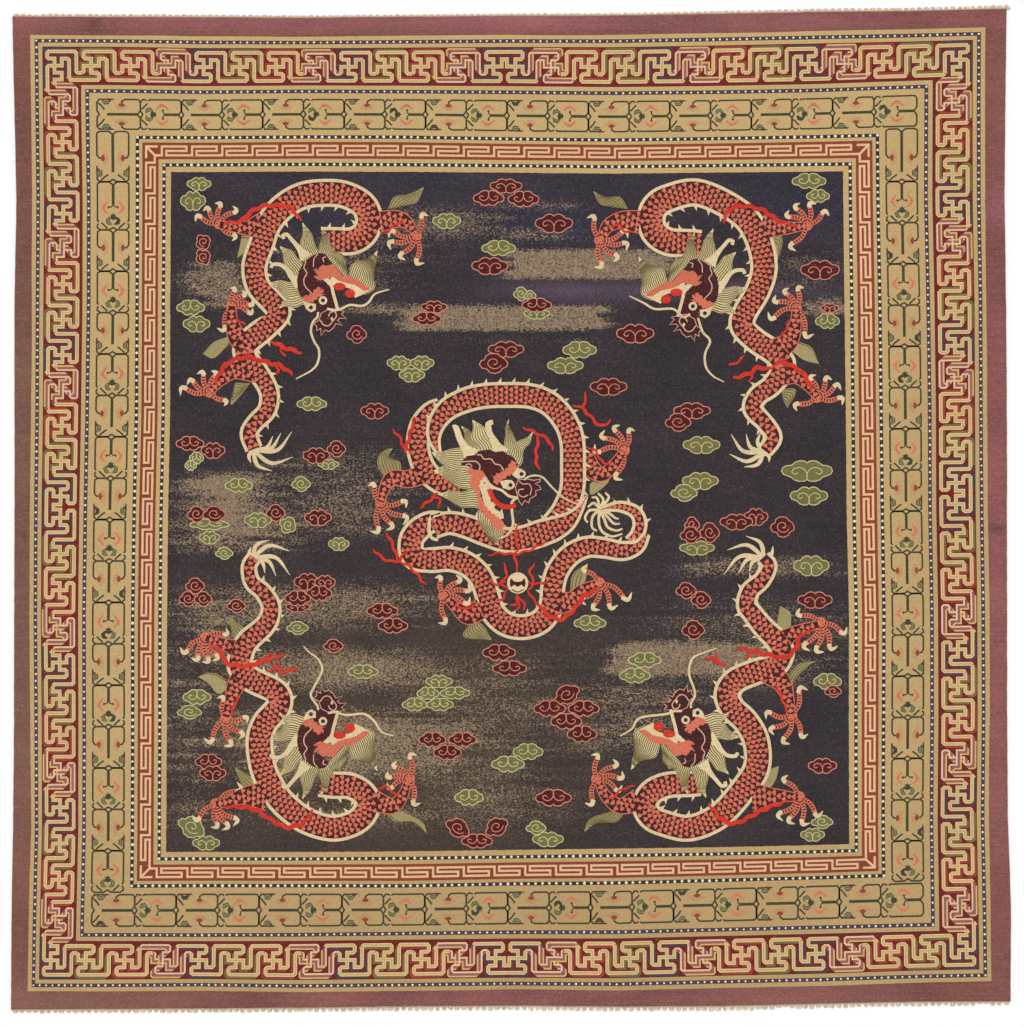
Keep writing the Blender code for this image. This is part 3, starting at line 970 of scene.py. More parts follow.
def field_grid():
    columns, rows = (
        np.linspace(FIELD_DEPTH, side - FIELD_DEPTH, round((side - 2 * FIELD_DEPTH) / FIELD_STEP))
        for side in PAPER)
    knots = on_border(np.stack(np.meshgrid(columns, rows), -1).reshape(-1, 2))
    wear = worn(knots)
    lot = np.random.default_rng(3)
    height = FIELD_TOP - HOLLOW * wear - lot.uniform(0, 0.12, len(wear))
    wide, tall = len(columns), len(rows)
    here = (np.arange(tall - 1)[:, None] * wide + np.arange(wide - 1)).ravel()
    faces = np.stack([here, here + wide, here + wide + 1, here + 1], 1)
    mesh = bpy.data.meshes.new("field_ground")
    mesh.from_pydata(np.column_stack([on_floor(knots), height * MM]).tolist(), [], faces.tolist())
    dyes = mesh.attributes.new("dye", "FLOAT_COLOR", "POINT")
    dyes.data.foreach_set("color", stained(knots, "night", FIELD_STAINS).ravel())
    mesh.attributes.new("wear", "FLOAT", "POINT").data.foreach_set("value", wear)
    return mesh


def field_wool():
    finish = Finish("night field wool", sheen=0.1)
    place = finish.place()
    knots = finish.by_knot(place)
    other_knots = finish.by_knot(place, 7.3)
    tufts = finish.noise(place, (420, 420, 60), 3)
    weft_threads = finish.noise(place, (60, 210, 1), 3)
    weft_streaks = finish.noise(place, (5, 60, 1), 4)
    warp_threads = finish.noise(place, (210, 24, 1), 3)
    blotches = finish.noise(place, (3, 4, 1), 4)
    wear = finish.dyed("wear", "Fac")
    tone = 1.0 + 0.45 * (knots - 0.5) + 0.9 * (weft_threads - 0.5) + 0.7 * (warp_threads - 0.5)
    tone = tone + 0.4 * (weft_streaks - 0.5) + 0.7 * (blotches - 0.5)
    dark = finish.toned(finish.dyed("dye"), tone)
    bare_tone = 0.53 + 0.5 * knots + 0.8 * (warp_threads - 0.5) + 0.6 * (weft_threads - 0.5)
    bare = finish.toned(finish.mixed(dye("worn warp"), dye("dusk violet"), 0.4 * other_knots), bare_tone)
    rough = wear + 0.7 * wear * wear + 1.0 * (weft_threads - 0.5)
    rough = rough + 0.4 * (weft_streaks - 0.5) + 1.1 * (knots - 0.5)
    rough = rough + 0.5 * (blotches - 0.5) + 0.6 * (warp_threads - 0.5)
    eaten = finish.step(rough, 0.34, 0.96)
    specks = finish.step(weft_threads + 0.25 * other_knots, 0.86, 0.9)
    share = (0.9 * eaten * (0.2 + 2.2 * wear).clipped() + 0.3 * specks).clipped()
    finish.feed("Base Color", finish.mixed(dark, bare, share))
    finish.feed("Roughness", 0.84 + 0.14 * tufts)
    finish.bumped(tufts + 0.7 * knots - 0.8 * share, 1.0 * MM)
    return finish.material


placed(field_grid(), field_wool())

# %% [markdown]
# ## Clouds
# Small clouds fill the night between the dragons, in one of two dyes with a light outline. There
# are only two drawings: a crown is a wide scalloped cloud with a pair of curls, upright or turned
# over, and a ball is a rounder one about a spiral. The outlines are left with straight facets,
# because at one knot to a step a weaver cannot draw a rounder curve.

# %% Two cloud drawings
# Half of a crown, from its middle at the top to its middle at the foot, in parts of its size.
CROWN_HALF = [
    (0, -0.40), (0.05, -0.48), (0.13, -0.5), (0.21, -0.45), (0.31, -0.28), (0.39, -0.27), (0.47, -0.18),
    (0.5, 0.0), (0.46, 0.17), (0.37, 0.25), (0.31, 0.30), (0.25, 0.43), (0.15, 0.5), (0.05, 0.49),
    (0, 0.42),
]
CROWN = CROWN_HALF + [(-x, y) for x, y in CROWN_HALF[-2:0:-1]]
CROWN_CURL = [
    (0.0, 0.42), (0.0, 0.14), (0.05, -0.06), (0.14, -0.16), (0.25, -0.1), (0.29, 0.06), (0.22, 0.14),
    (0.17, 0.06),
]
BALL = [
    (0.0, -0.5), (0.16, -0.47), (0.28, -0.32), (0.4, -0.22), (0.5, -0.02), (0.46, 0.16), (0.32, 0.25),
    (0.24, 0.40), (0.06, 0.5), (-0.14, 0.45), (-0.24, 0.28), (-0.4, 0.24), (-0.5, 0.05), (-0.44, -0.14),
    (-0.32, -0.2), (-0.28, -0.36), (-0.15, -0.48),
]
BALL_CURL = [
    (0.0, 0.0), (0.06, 0.05), (0.13, -0.03), (0.1, -0.16), (-0.02, -0.22), (-0.15, -0.14), (-0.2, 0.02),
    (-0.13, 0.17), (0.02, 0.24), (0.17, 0.2), (0.27, 0.08),
]
CLOUD_RIM, CURL_LINE = 0.95, 0.8  # knots
# A drawing of a cloud holds its outline, its curls, and 1, or -1 where it is turned over.
crown = (CROWN, [CROWN_CURL, [(-x, y) for x, y in CROWN_CURL]], 1)
cup = (*crown[:2], -1)
ball = (BALL, [BALL_CURL], 1)

# Each cloud holds its drawing, the column and row of its middle, its width and height in knots,
# and sometimes a slant in degrees. They lie in the order in which they overlap, the lower ones first.
GREEN_CLOUDS = (
    (crown, 199, 184, 25, 14), (crown, 193, 201, 26, 20), (cup, 190.6, 307.6, 29, 16),
    (crown, 196.5, 324, 28, 17), (crown, 399, 363, 25, 15), (crown, 422, 363, 25, 15),
    (crown, 412, 375, 26.5, 15), (cup, 311.8, 403.8, 31, 14.6), (crown, 446.7, 221, 29, 16),
    (cup, 498.6, 248, 35, 16), (ball, 521, 294, 16, 15), (ball, 530, 296, 13, 12),
    (crown, 536.8, 313.6, 27, 12), (cup, 579.6, 349.8, 35, 17.5), (crown, 565.3, 365.6, 37, 16.8),
    (cup, 590, 623, 33, 16), (cup, 809, 181, 35, 16), (cup, 818, 196, 24, 14), (cup, 827.5, 321, 25, 16),
    (crown, 701.5, 445, 38, 18), (crown, 700.3, 481, 37, 18), (ball, 684, 493, 28, 18),
    (crown, 807, 471, 52, 21.6), (crown, 809, 496, 38.5, 19), (crown, 697, 548, 36, 15),
    (crown, 811.4, 565.8, 36.5, 21), (cup, 196.5, 458, 15, 13), (cup, 190.7, 465.5, 12.4, 11),
    (crown, 328.4, 464.3, 21.6, 11), (cup, 238.8, 485.4, 28.5, 14.6), (ball, 301, 484.2, 20, 16),
    (cup, 209.5, 524.4, 40.6, 11.6), (crown, 209.5, 537.6, 21, 14), (crown, 258, 520.2, 28, 15.8),
    (ball, 287.7, 525.2, 18, 18, 35), (crown, 338.8, 544, 21.6, 14), (ball, 224.2, 553.4, 18.6, 13),
    (ball, 297.4, 628, 23, 14), (cup, 362.9, 671.6, 30.7, 14.6), (cup, 197, 697, 29, 15.8),
    (ball, 189.4, 712.3, 25.7, 14.6), (ball, 191.6, 827.2, 30, 21.6, 30), (crown, 206.2, 843, 28, 15),
    (crown, 439, 681.4, 27.4, 13.6), (cup, 428, 693.4, 23, 13.6), (cup, 455, 693, 31, 13),
    (cup, 414.7, 704.5, 26, 14), (cup, 440, 704.5, 28, 13.6), (cup, 528, 751.6, 31, 16.7),
    (cup, 508, 764, 34, 16.7), (cup, 469, 797.4, 29.5, 16.7), (ball, 536, 828, 21, 14.7),
    (crown, 548, 839.3, 32, 15.6), (cup, 644.7, 660, 33.5, 15.8), (cup, 634.8, 675.5, 32, 15.8),
    (cup, 827.5, 681.3, 29, 16.6), (ball, 822, 822, 23, 14.6), (crown, 812.6, 834.7, 25, 14),
)
PLUM_CLOUDS = (
    (ball, 203, 242, 17, 16, 60), (ball, 203, 257, 18, 16, 60), (ball, 356.6, 334.5, 21, 19),
    (crown, 374.8, 411, 29, 16.6), (crown, 434, 307, 27, 13), (cup, 426.7, 318.6, 30, 14),
    (crown, 506, 186, 33, 15), (cup, 488.7, 198, 32, 16), (cup, 523.5, 199, 32, 16.6),
    (crown, 554, 223.4, 38.6, 19.6), (crown, 489.8, 266, 37.6, 18), (cup, 536.8, 305, 30.6, 14.7),
    (crown, 506, 349.4, 37, 16.8), (ball, 493.6, 363.5, 29.5, 21), (crown, 608.6, 386.8, 38, 18),
    (crown, 820, 270, 40, 20), (crown, 829.7, 308, 19, 10), (crown, 635.2, 333.6, 38.5, 19.6),
    (crown, 692, 410.8, 38, 17), (ball, 678, 422.4, 27, 19), (ball, 692, 525, 16, 17),
    (ball, 709.5, 532.7, 21, 21), (ball, 690.4, 535.2, 22, 18), (crown, 756, 517, 25, 18),
    (crown, 736.3, 522, 34, 16.6), (ball, 782.4, 527, 25, 21.6), (ball, 686, 590.7, 21.6, 17.4),
    (ball, 701, 600, 21, 18), (crown, 815, 600, 35.7, 17.4), (cup, 190, 443.4, 29, 15),
    (crown, 213, 450.6, 25, 16.6), (crown, 316.3, 455.6, 28, 16.6), (ball, 336.3, 449, 20, 17.4),
    (ball, 196.5, 514.4, 20, 17), (ball, 214, 514.4, 24, 17), (ball, 275.6, 513, 20, 18),
    (crown, 318, 517.7, 28, 16.6), (ball, 195, 586, 20, 17), (ball, 188, 599, 19, 16),
    (ball, 203, 599, 19, 16), (ball, 236.3, 606, 20, 14.6), (crown, 297.7, 607, 25, 11),
    (crown, 307.6, 582, 28, 18), (crown, 325, 582.4, 21.6, 15), (cup, 319.2, 593.2, 26.5, 16),
    (cup, 297.7, 598.2, 27, 16), (cup, 382.3, 610.8, 32, 16), (cup, 393, 625.7, 30.7, 15.8),
    (ball, 333.3, 646, 21, 14.6), (cup, 208.5, 761.7, 27.4, 15.8), (crown, 212.8, 773.3, 27.4, 15.8),
    (cup, 432.4, 739.6, 28, 15.6), (cup, 462.5, 739.6, 29, 15), (cup, 447.4, 752.4, 29, 15.6),
    (cup, 499, 652.4, 34, 17), (cup, 509.6, 668.3, 35, 16), (ball, 566.7, 695, 29, 20, -30),
    (cup, 549.6, 708.5, 32.7, 17), (cup, 583.7, 708.5, 32, 16.7), (cup, 566.2, 721.3, 32, 16.7),
    (cup, 582, 734, 30.6, 17), (cup, 553.4, 797.8, 37, 17.5), (ball, 457.7, 828, 27, 19, 30),
    (ball, 496.5, 827.3, 26, 19, -30), (cup, 477, 841, 32, 15), (ball, 693.2, 630, 24, 20),
    (ball, 833, 691.5, 18, 13), (crown, 822.5, 765.8, 29.5, 16),
)

rim_bed = Bed("cloud_outlines", 8.70)
body_bed = Bed("clouds", 8.84)
curl_bed = Bed("cloud_curls", 8.98)
RANK_STEP = 0.4  # mm that a cloud in front stands over the one behind
NEAR = 0.47  # two clouds overlap when their middles are nearer than this share of their sizes


def shrunk(outline, by):
    outline = np.asarray(outline, float)
    ahead = even(np.roll(outline, -1, 0) - outline)
    x, y = outline.T
    inward = 1 if (x * np.roll(y, -1) - np.roll(x, -1) * y).sum() > 0 else -1
    square = np.stack([-ahead[:, 1], ahead[:, 0]], 1) * inward
    both = square + np.roll(square, 1, 0)
    both = both / np.maximum((both * square).sum(1), 0.6)[:, None]
    return outline + both * by


def cloud(dyes, rank, drawing, column, row, width, height, slant=0):
    outline, curls, upright = drawing
    size = np.array((width, upright * height), float)
    c, s = math.cos(math.radians(slant)), math.sin(math.radians(slant))

    def at(parts):
        x, y = (np.asarray(parts, float) * size).T
        return np.stack([column + c * x - s * y, row + s * x + c * y], 1)

    rim, fill = dyes
    edge = at(outline)
    rise = rank * RANK_STEP
    rim_bed.shape(edge, rim, rise)
    body_bed.shape(shrunk(edge, CLOUD_RIM), fill, rise)
    for curl in curls:
        curl_bed.ribbon(flow(at(curl), 1.6), CURL_LINE, rim, rise)


laid = []
for clouds, dyes in ((GREEN_CLOUDS, ("cloud lime", "cloud green")),
                     (PLUM_CLOUDS, ("cloud rose", "cloud plum"))):
    for placing in clouds:
        column, row, width, height = placing[1:5]
        under = [rank for x, y, w, h, rank in laid
                 if abs(x - column) < (w + width) * NEAR and abs(y - row) < (h + height) * NEAR]
        rank = max(under, default=-1) + 1  # a cloud that lies on others is raised
        laid.append((column, row, width, height, rank))
        cloud(dyes, rank, *placing)
print(len(laid), "clouds")
motif_wool = wool("motif wool", knot_tone=0.3, band_tone=0.14, blotch_tone=0.16, wear=0.3)
for bed in (rim_bed, body_bed, curl_bed):
    bed.woven(motif_wool)

# %% [markdown]
# ## Dragons, part by part
# Five dragons lie on the field: one coiled round a flaming pearl in the middle, and one in each
# corner. A weaver builds a dragon from a few habits of the hand, so the parts are functions, and
# each dragon only says where its parts go, in columns and rows of the chart.

# %% Beds of the dragons' layers
GROUND = 8.3  # mm, where the sides of these beds end


# Each layer holds its height in mm and how many shapes lie a hair over each other in it.
DRAGON_LAYERS = (
    ("trails", 8.95, 12), ("edges", 9.12, 12), ("limbs", 9.21, 16), ("limb_marks", 9.33, 12),
    ("limb_scales", 9.43, 12), ("plates", 9.53, 12), ("scales", 9.63, 12), ("ribbons", 11.00, 12),
    ("manes", 11.10, 80), ("heads", 11.68, 24), ("faces", 11.87, 50),
)
DRAGON_BEDS = [Bed("dragon_" + name, top, top - GROUND, layers) for name, top, layers in DRAGON_LAYERS]
(trail_bed, edge_bed, limb_bed, mark_bed, limb_scale_bed, plate_bed,
 scale_bed, ribbon_bed, mane_bed, head_bed, face_bed) = DRAGON_BEDS
OVER = 0.62  # mm that a body lies over another


# %% A scaled body
# A scale seen along the body: a narrow root, then a round fan, in knots.
SCALE = np.array([(-3.1, 0), (-1.9, -0.8), (-0.7, -1.9), (0.1, -2.95), (1.3, -2.1), (1.8, 0),
                  (1.3, 2.1), (0.1, 2.95), (-0.7, 1.9), (-1.9, 0.8)])
SCALE_PITCH, ROW_PITCH = 5.9, 4.95  # from scale to scale, and from row to row
BODY_RIM = 3.2
TIGHT = 0.55  # inside a bend as tight as this there is no room for a scale
THORN_STEP, THORN_LENGTH = 14.0, 5.0


def along_at(course, run):
    """The place on a course that far from its start, with the directions along and across it."""
    far = lengths(course)
    before, spot, after = (
        np.array([np.interp(place, far, column) for column in course.T]) for place in (run - 1, run, run + 1))
    ahead = after - before
    ahead = ahead / max(float(np.hypot(*ahead)), 1e-9)
    return spot, ahead, np.array([-ahead[1], ahead[0]])


def scale_rows(bed, course, widths, rise):
    far = lengths(course)
    run, row = 2.5, 0
    while run < far[-1] - 1:
        spot, ahead, square = along_at(course, run)
        room = float(np.interp(run, far, widths))
        count = max(1, round(room / SCALE_PITCH))
        pitch = room / count
        count = count - row % 2 if count > 1 else 1
        turn = float(np.cross(ahead, along_at(course, run + 3)[1])) / 3
        for k in range(count):
            off = (k - (count - 1) / 2) * pitch
            if off * turn <= TIGHT:
                shape = SCALE * (1.0, min(1.15, pitch / SCALE_PITCH))
                bed.shape(spot + shape[:, :1] * ahead + (shape[:, 1:] + off) * square, "coral", rise)
        run += ROW_PITCH
        row += 1


def widths_at(course, points, width):
    """A width for each station, from one number, a few spread evenly, or one for each point."""
    if np.ndim(width) == 0 or len(width) != len(points):
        return widths_along(course, width)
    stations = [int(np.argmin(np.hypot(*(course - point).T))) for point in np.asarray(points, float)]
    return np.interp(np.arange(len(course)), stations, width)


def body(points, width, rank=0, thorns=1, first_thorn=8.0):
    """A body with light rims, a plum plate, rows of coral scales, and thorns on one side (1 or -1)."""
    course = flow(points, 3.0)
    rise = OVER * rank
    widths = widths_at(course, points, width)
    inner = np.maximum(widths - 2 * BODY_RIM, 0.6)
    edge_bed.ribbon(course, widths, "ivory", rise)
    plate_bed.ribbon(course, inner, "scale plum", rise)
    scale_rows(scale_bed, course, inner + 1.2, rise)
    edge = sides(course, widths - 1.0)[0 if thorns > 0 else 1]
    run = first_thorn
    while thorns and run < lengths(edge)[-1] - 8:
        root, ahead, square = along_at(edge, run)
        tip = root + square * thorns * THORN_LENGTH + ahead * 1.8
        edge_bed.shape([root - ahead * 2.2, root + ahead * 1.6, tip], "ivory", rise)
        run += THORN_STEP


def tail_hair(root, tips, bow=0.24):
    """Long tapering hairs that sweep out from the end of the tail."""
    root, width = np.array(root, float), 4.4
    trail_bed.shape(blob(root, 2 * width, 2 * width, 8), "ivory")
    for tip in tips:
        away = np.array(tip, float) - root
        square = np.array([-away[1], away[0]]) * bow
        course = flow([root, root + away * 0.5 + square, tip], 2.0)
        trail_bed.ribbon(course, (width * 0.8, width, width * 0.7, 0.5), "ivory")


# %% Limbs and clawed feet
def limb(points, width, palm, tips, hooks):
    """A scaled limb without a light rim, and its foot."""
    course = flow(points, 2.5)
    limb_bed.turn = mark_bed.turn = 0
    widths = widths_at(course, points, width)
    limb_bed.ribbon(course, widths, "coral")
    mark_bed.ribbon(course, np.maximum(widths - 2.0, 0.8), "scale plum")
    scale_rows(limb_scale_bed, course, widths - 1.4, 0.0)
    foot(palm, tips, hooks)


def turned(arrow, degrees):  # clockwise on the chart
    c, s = math.cos(math.radians(degrees)), math.sin(math.radians(degrees))
    return np.array([c * arrow[0] - s * arrow[1], s * arrow[0] + c * arrow[1]])


BEND = 17  # degrees that a toe bows out before its talon hooks back
TOE_BAND = 2.9  # knots from one dark band of a toe to the next
PAD_DOTS = (0.5, 1.8, 3.1, 4.3, 5.5)  # where the dots of a palm lie round it, in radians


def foot(palm, tips, hooks, toe=5.0):
    """A palm with toes, each banded and ending in a talon that hooks round clockwise (+) or back (-)."""
    palm = np.array(palm, float)
    for tip, hook in zip(tips, hooks):
        away = np.array(tip, float) - palm
        bend = -BEND if hook == "+" else BEND
        course = flow([palm, palm + away * 0.45, palm + turned(away, bend * 0.9) * 0.86], 1.8)
        limb_bed.ribbon(course, (toe * 0.9, toe * 0.9, toe, toe * 0.9), "coral")
        talon = [palm + turned(away, bend) * 0.78, palm + turned(away, bend * 0.85) * 0.98, tip]
        limb_bed.ribbon(flow(talon, 1.2), (toe * 0.8, toe * 0.9, toe * 0.6, 0.6), "ivory")
        run = 5.0
        while run < lengths(course)[-1] - 2.5:
            spot, _, cross = along_at(course, run)
            mark_bed.ribbon([spot - cross * 1.6, spot + cross * 1.6], 1.2, "scale plum")
            run += TOE_BAND
    limb_bed.shape(blob(palm, 12, 12, 10), "coral")
    for angle in PAD_DOTS:
        dot = palm + 3.0 * np.array((math.cos(angle), math.sin(angle)))
        mark_bed.shape(blob(dot, 1.5, 1.5, 4), "scale plum")


# %% Flames, leaves and ribbons
FLAME_STATIONS = 18


def striped(bed, left, right, colour, line_colour, pitch, at=None, sway=0.0):
    """A flame between two sides, each given from its root to the tip, with lines that follow them."""
    left, right = (evenly(flow(side, 2.0), FLAME_STATIONS) for side in (left, right))
    beat = np.sin(np.linspace(0, 1, FLAME_STATIONS) * 11.0)[:, None]
    wave = sway * beat * across((left + right) / 2)
    left, right = left + wave, right + wave
    bed.shape(np.vstack([left, right[::-1]]), colour, 0.0, at)
    count = max(2, round(float(np.hypot(*(left - right).T).max()) / pitch))
    for k in range(count):
        share = (k + 0.5) / count
        course = left * (1 - share) + right * share
        bed.ribbon(course[: -2 - 2 * (k % 2)], (1.1, 1.1, 0.6), line_colour, 0.0, at)


def evenly(course, count):
    run = lengths(course)
    marks = np.linspace(0, run[-1], count)
    return np.stack([np.interp(marks, run, column) for column in course.T], 1)


def leaf(outline):
    """A pointed leaf: its outline runs from one side of its root, round the tip, to the other."""
    outline = np.array(outline, float)
    root = (outline[0] + outline[-1]) / 2
    tip = int(np.argmax(np.hypot(*(outline - root).T)))
    striped(trail_bed, outline[: tip + 1], outline[: tip - 1 : -1], "leaf olive", "sedge", 3.2)


def ribbon(points, width=4.7):
    """A bright red ribbon that sways a little and is blunt at its ends."""
    course = flow(points, 1.6)
    sway = 0.9 * np.sin(lengths(course) / 2.1)
    course = course + across(course) * sway[:, None]
    ribbon_bed.ribbon(course, (width * 0.45, width, width * 0.85, width, width * 0.45), "flame")


def whisker(points, width=2.3):
    head_bed.ribbon(flow(points, 2.2), (width, width, width, width * 0.5), "ivory")


def frilled(outline, depth=0.8, step=2.6):
    """The outline with a frayed edge, in and out at every step."""
    outline = np.array(outline, float)
    course = flow(np.vstack([outline, outline[:1]]), 0.8)
    course = evenly(course, 2 * round(lengths(course)[-1] / step / 2) + 1)[:-1]
    return course - across(course) * (depth * (-1.0) ** np.arange(len(course)))[:, None]


# %% [markdown]
# ## The head
# A head is the finest drawing on the carpet: a plum skull with a pale line, coral brow and jaw,
# round eyes, a frilled nose, teeth, a red tongue, horns, whiskers and a mane of striped flames. It
# is drawn as patches, lines and spots that lie on each other, once for the corner at the head end
# on the left. The other corners mirror it, with whiskers of their own.


# %% From a table to a head
def head(flames, horns, patches, lines, spots, eyes, hand, at=None):
    """A head from its mane up. at turns and moves it, and hand says how finely its mane is drawn."""
    line_gap, sway, step = hand
    mane_bed.turn = head_bed.turn = face_bed.turn = 0  # a new head starts at the bottom of its beds
    for left, right in flames:
        striped(mane_bed, left, right, "pale sedge", "sedge", line_gap, at, sway)
    for course, widths in horns:
        mane_bed.ribbon(flow(course, step), widths, "cream", 0.0, at)
    for outline, colour in patches:
        head_bed.shape(outline, colour, 0.0, at)
    for course, colour, width in lines:
        face_bed.ribbon(flow(course, 1.6), width, colour, 0.0, at)
    for outline, colour in spots:
        face_bed.shape(outline, colour, 0.0, at)
    for spot in eyes:
        for size, colour in ((8.8, "ivory"), (4.2, "soot")):
            face_bed.shape(blob(spot, size, size, 10), colour, 0.0, at)


# %% The head of the corner dragons
MANE_FLAMES = (
    ([(303, 262), (301, 242), (303.5, 222)], [(322, 262), (314, 240), (303.5, 222)]),
    ([(318, 262), (320, 242), (322, 226)], [(336, 258), (330, 241), (322, 226)]),
    ([(326, 256), (333, 251), (341, 252)], [(346, 278), (347, 264), (341, 252)]),
    ([(293, 280), (284, 262), (280.5, 245.5)], [(306, 270), (295, 254), (280.5, 245.5)]),
    ([(306, 298), (289, 299), (277, 290), (269.5, 282)], [(304, 283), (286, 281), (269.5, 282)]),
    ([(308, 305), (292, 307), (278.5, 307.5)], [(306, 296), (290, 298), (278.5, 307.5)]),
    ([(347, 278), (352, 265), (366, 259), (378.5, 251)], [(364, 295), (375, 287), (374, 270), (378.5, 251)]),
)
SKULL = [
    (319, 253), (325, 254), (329, 259), (325, 263), (319, 268), (314, 267), (313, 272), (317, 275),
    (312, 277), (319, 280), (326, 282), (330, 288), (328, 296), (318, 292), (311, 296), (301, 298),
    (298, 290), (297, 280), (299, 271), (303, 264), (309, 258), (314, 255),
]
FACE = [
    (316, 290), (328, 286), (331.5, 294), (334, 302), (336, 310), (331, 320), (323, 324), (319, 317),
    (316, 309), (312, 303), (305, 300),
]
NOSE = [
    (330, 308), (338, 309.5), (345, 311.5), (342, 314), (347, 319), (340, 318.5), (338, 320.5), (343, 326),
    (336, 324), (334, 328), (329, 332), (325, 330.5), (321, 336), (320.5, 329), (316.5, 331),
    (316.5, 326.5), (313, 323), (318.5, 320.5), (321, 313),
]
JAW = [
    (312, 268), (318, 271), (321, 264), (326, 266), (333, 264), (338, 270), (343, 276), (350, 276),
    (358, 280), (366, 286), (371, 290), (364, 291), (355, 285), (346, 283), (339, 281), (333, 277),
    (325, 279), (319, 281), (312, 275), (318, 276), (315, 271),
]
GUMS = [
    (321, 277), (330, 273), (339, 280), (347, 281), (356, 284), (365, 289), (373, 288), (364, 294),
    (355, 298), (351, 289), (345, 287), (338, 283), (333, 288), (327, 284),
]
BROW = [
    (301, 297), (307, 295.5), (312, 293), (316, 288.5), (321, 286.5), (320, 290), (325, 289), (322, 293),
    (325, 295), (319, 297), (313, 302), (307, 303.5), (303, 300),
]
CORNER_HORNS = (
    ([(284, 239), (283, 235.5), (287, 234.5), (292, 240), (298, 247), (306, 258)], (3.4, 3.6, 4, 6, 13)),
    ([(271, 268), (273, 264.5), (281, 265), (287, 270), (292, 277), (300, 283)], (3.4, 3.8, 4, 6, 14)),
)
CORNER_PATCHES = (
    (GUMS, "cream"), (JAW, "coral"), (SKULL, "scale plum"), (FACE, "scale plum"), (NOSE, "shell"),
    (shrunk(NOSE, 0.7), "scale plum"), (frilled(BROW), "coral"),
)
CORNER_LINES = (
    ([(306, 262), (304, 268), (307, 273), (304, 279), (305, 286), (311.5, 293)], "shell", 1.1),
    ([(318, 254), (314, 259), (313.5, 267)], "shell", 1.0),
    ([(324, 262), (323, 258), (326, 257)], "shell", 1.0),
    ([(320, 320), (324, 325), (329, 325.5), (333, 321), (336.5, 316), (334.5, 311.5), (330, 313),
      (328.5, 316.5)], "shell", 1.1),
    ([(325, 279.5), (331, 285), (333.5, 294), (336, 303), (338, 311)], "ivory", 3.2),
)
CORNER_SPOTS = (
    (blob((339.5, 286.5), 13, 8, 8), "flame"), (blob((350, 293.5), 11, 9, 8), "flame"),
    (blob((330, 278.5), 3.0, 2.2, 6), "umber plum"), (blob((332, 319), 2.6, 4.2, 6), "cream"),
    ([(303, 301), (309, 303), (316, 304), (316, 310), (311, 312.5), (306, 309)], "ivory"),
)
CORNER_EYES = ((323, 300.5), (311, 307.6))
CORNER_HAND = (2.3, 0.9, 1.8)


def corner_head(at, whiskers):
    head(MANE_FLAMES, CORNER_HORNS, CORNER_PATCHES, CORNER_LINES, CORNER_SPOTS, CORNER_EYES, CORNER_HAND, at)
    for course in whiskers:
        whisker(course)


MIRRORS = np.array((507.9, 510.85))  # the column and row about which the corners face each other


def head_at(flip_x, flip_y, shift=(0, 0)):

    def at(points):
        return np.where((flip_x, flip_y), 2 * MIRRORS - points, points) + shift

    return at


# %% [markdown]
# ## Four dragons in the corners
# The corner dragons face each other in pairs, and one drawing could be mirrored to all four. But
# each was drawn afresh on the loom, so their courses are set out one by one, from neck to tail.

# %% The dragon at the head end on the left
body([(321, 241), (334, 241), (352, 241), (364, 234), (369, 221), (365, 207), (353, 198), (335, 193),
      (305, 195), (283, 207), (268, 225), (262, 243), (254.5, 266), (258, 286), (271, 301), (278.6, 312.6),
      (265, 328), (246, 345), (247, 359), (258, 372), (269, 392), (267, 410), (255, 423), (249, 434),
      (254, 449)], (28, 28, 28, 28, 28, 27, 26, 26, 26, 22, 20, 18), 0, -1)
tail_hair((253, 450), [(273, 436), (281, 433), (292, 431.5), (293, 457), (272, 471), (251, 463)])
limb([(262, 226), (245, 228), (219.8, 224.7)], (28, 14, 8), (219.4, 223.5),
     [(195.3, 221.7), (203, 211), (215, 203.4), (233, 206), (232, 241)], "----+")
ribbon([(301, 221), (293, 210), (284, 206), (264, 206), (249.6, 213), (241, 221), (224, 223)])
leaf([(242, 233), (256, 233), (255, 246), (237, 258), (240, 246)])
limb([(378, 222), (396, 219), (406, 222), (414, 231)], (22, 18, 14, 8), (416, 236),
     [(428.4, 216), (424.3, 263), (405.4, 260.3), (391, 250), (389, 238)], "+----")
ribbon([(383, 233), (389, 231), (397, 223), (405, 225)], 2.2)
leaf([(388, 209), (394, 197), (408, 194), (424, 187), (417, 202), (404, 206)])
limb([(250, 346), (238, 338), (232, 322), (232, 306)], (24, 20, 13, 8), (232, 306),
     [(230, 288), (242, 290.5), (252, 299), (253, 308), (217, 328)], "----+")
ribbon([(237, 316), (240, 322), (246, 325)], 2.4)
leaf([(230, 336), (214, 342), (203, 354), (214, 358), (228, 345)])
limb([(256, 370), (234, 371), (220, 382), (210, 392)], (26, 17, 10, 8), (210, 392),
     [(197, 374), (211, 371), (187, 385), (180.5, 395.5), (224, 406)], "----+")
ribbon([(264, 362), (250, 357), (231, 361), (221, 371), (215, 384)])
leaf([(235, 383), (250, 383), (240, 396), (231, 405), (232, 396)])
ribbon([(271, 341), (283, 347), (292, 350), (302, 353)])
ribbon([(281, 347), (282, 352), (285, 357)], 2.4)
ribbon([(256, 359), (269, 363), (281, 366), (293, 375)])
ribbon([(276, 365), (279, 370), (275, 374)], 2.4)
corner_head(head_at(False, False),
            ([(327, 308.5), (333, 310.5), (341, 309), (350, 305), (362, 306), (369, 302), (375, 294),
              (389, 289.5)],
             [(318, 312), (317.5, 317), (313, 322), (311, 331), (314, 341), (319, 350), (318, 362),
              (312, 370), (296, 379)]))

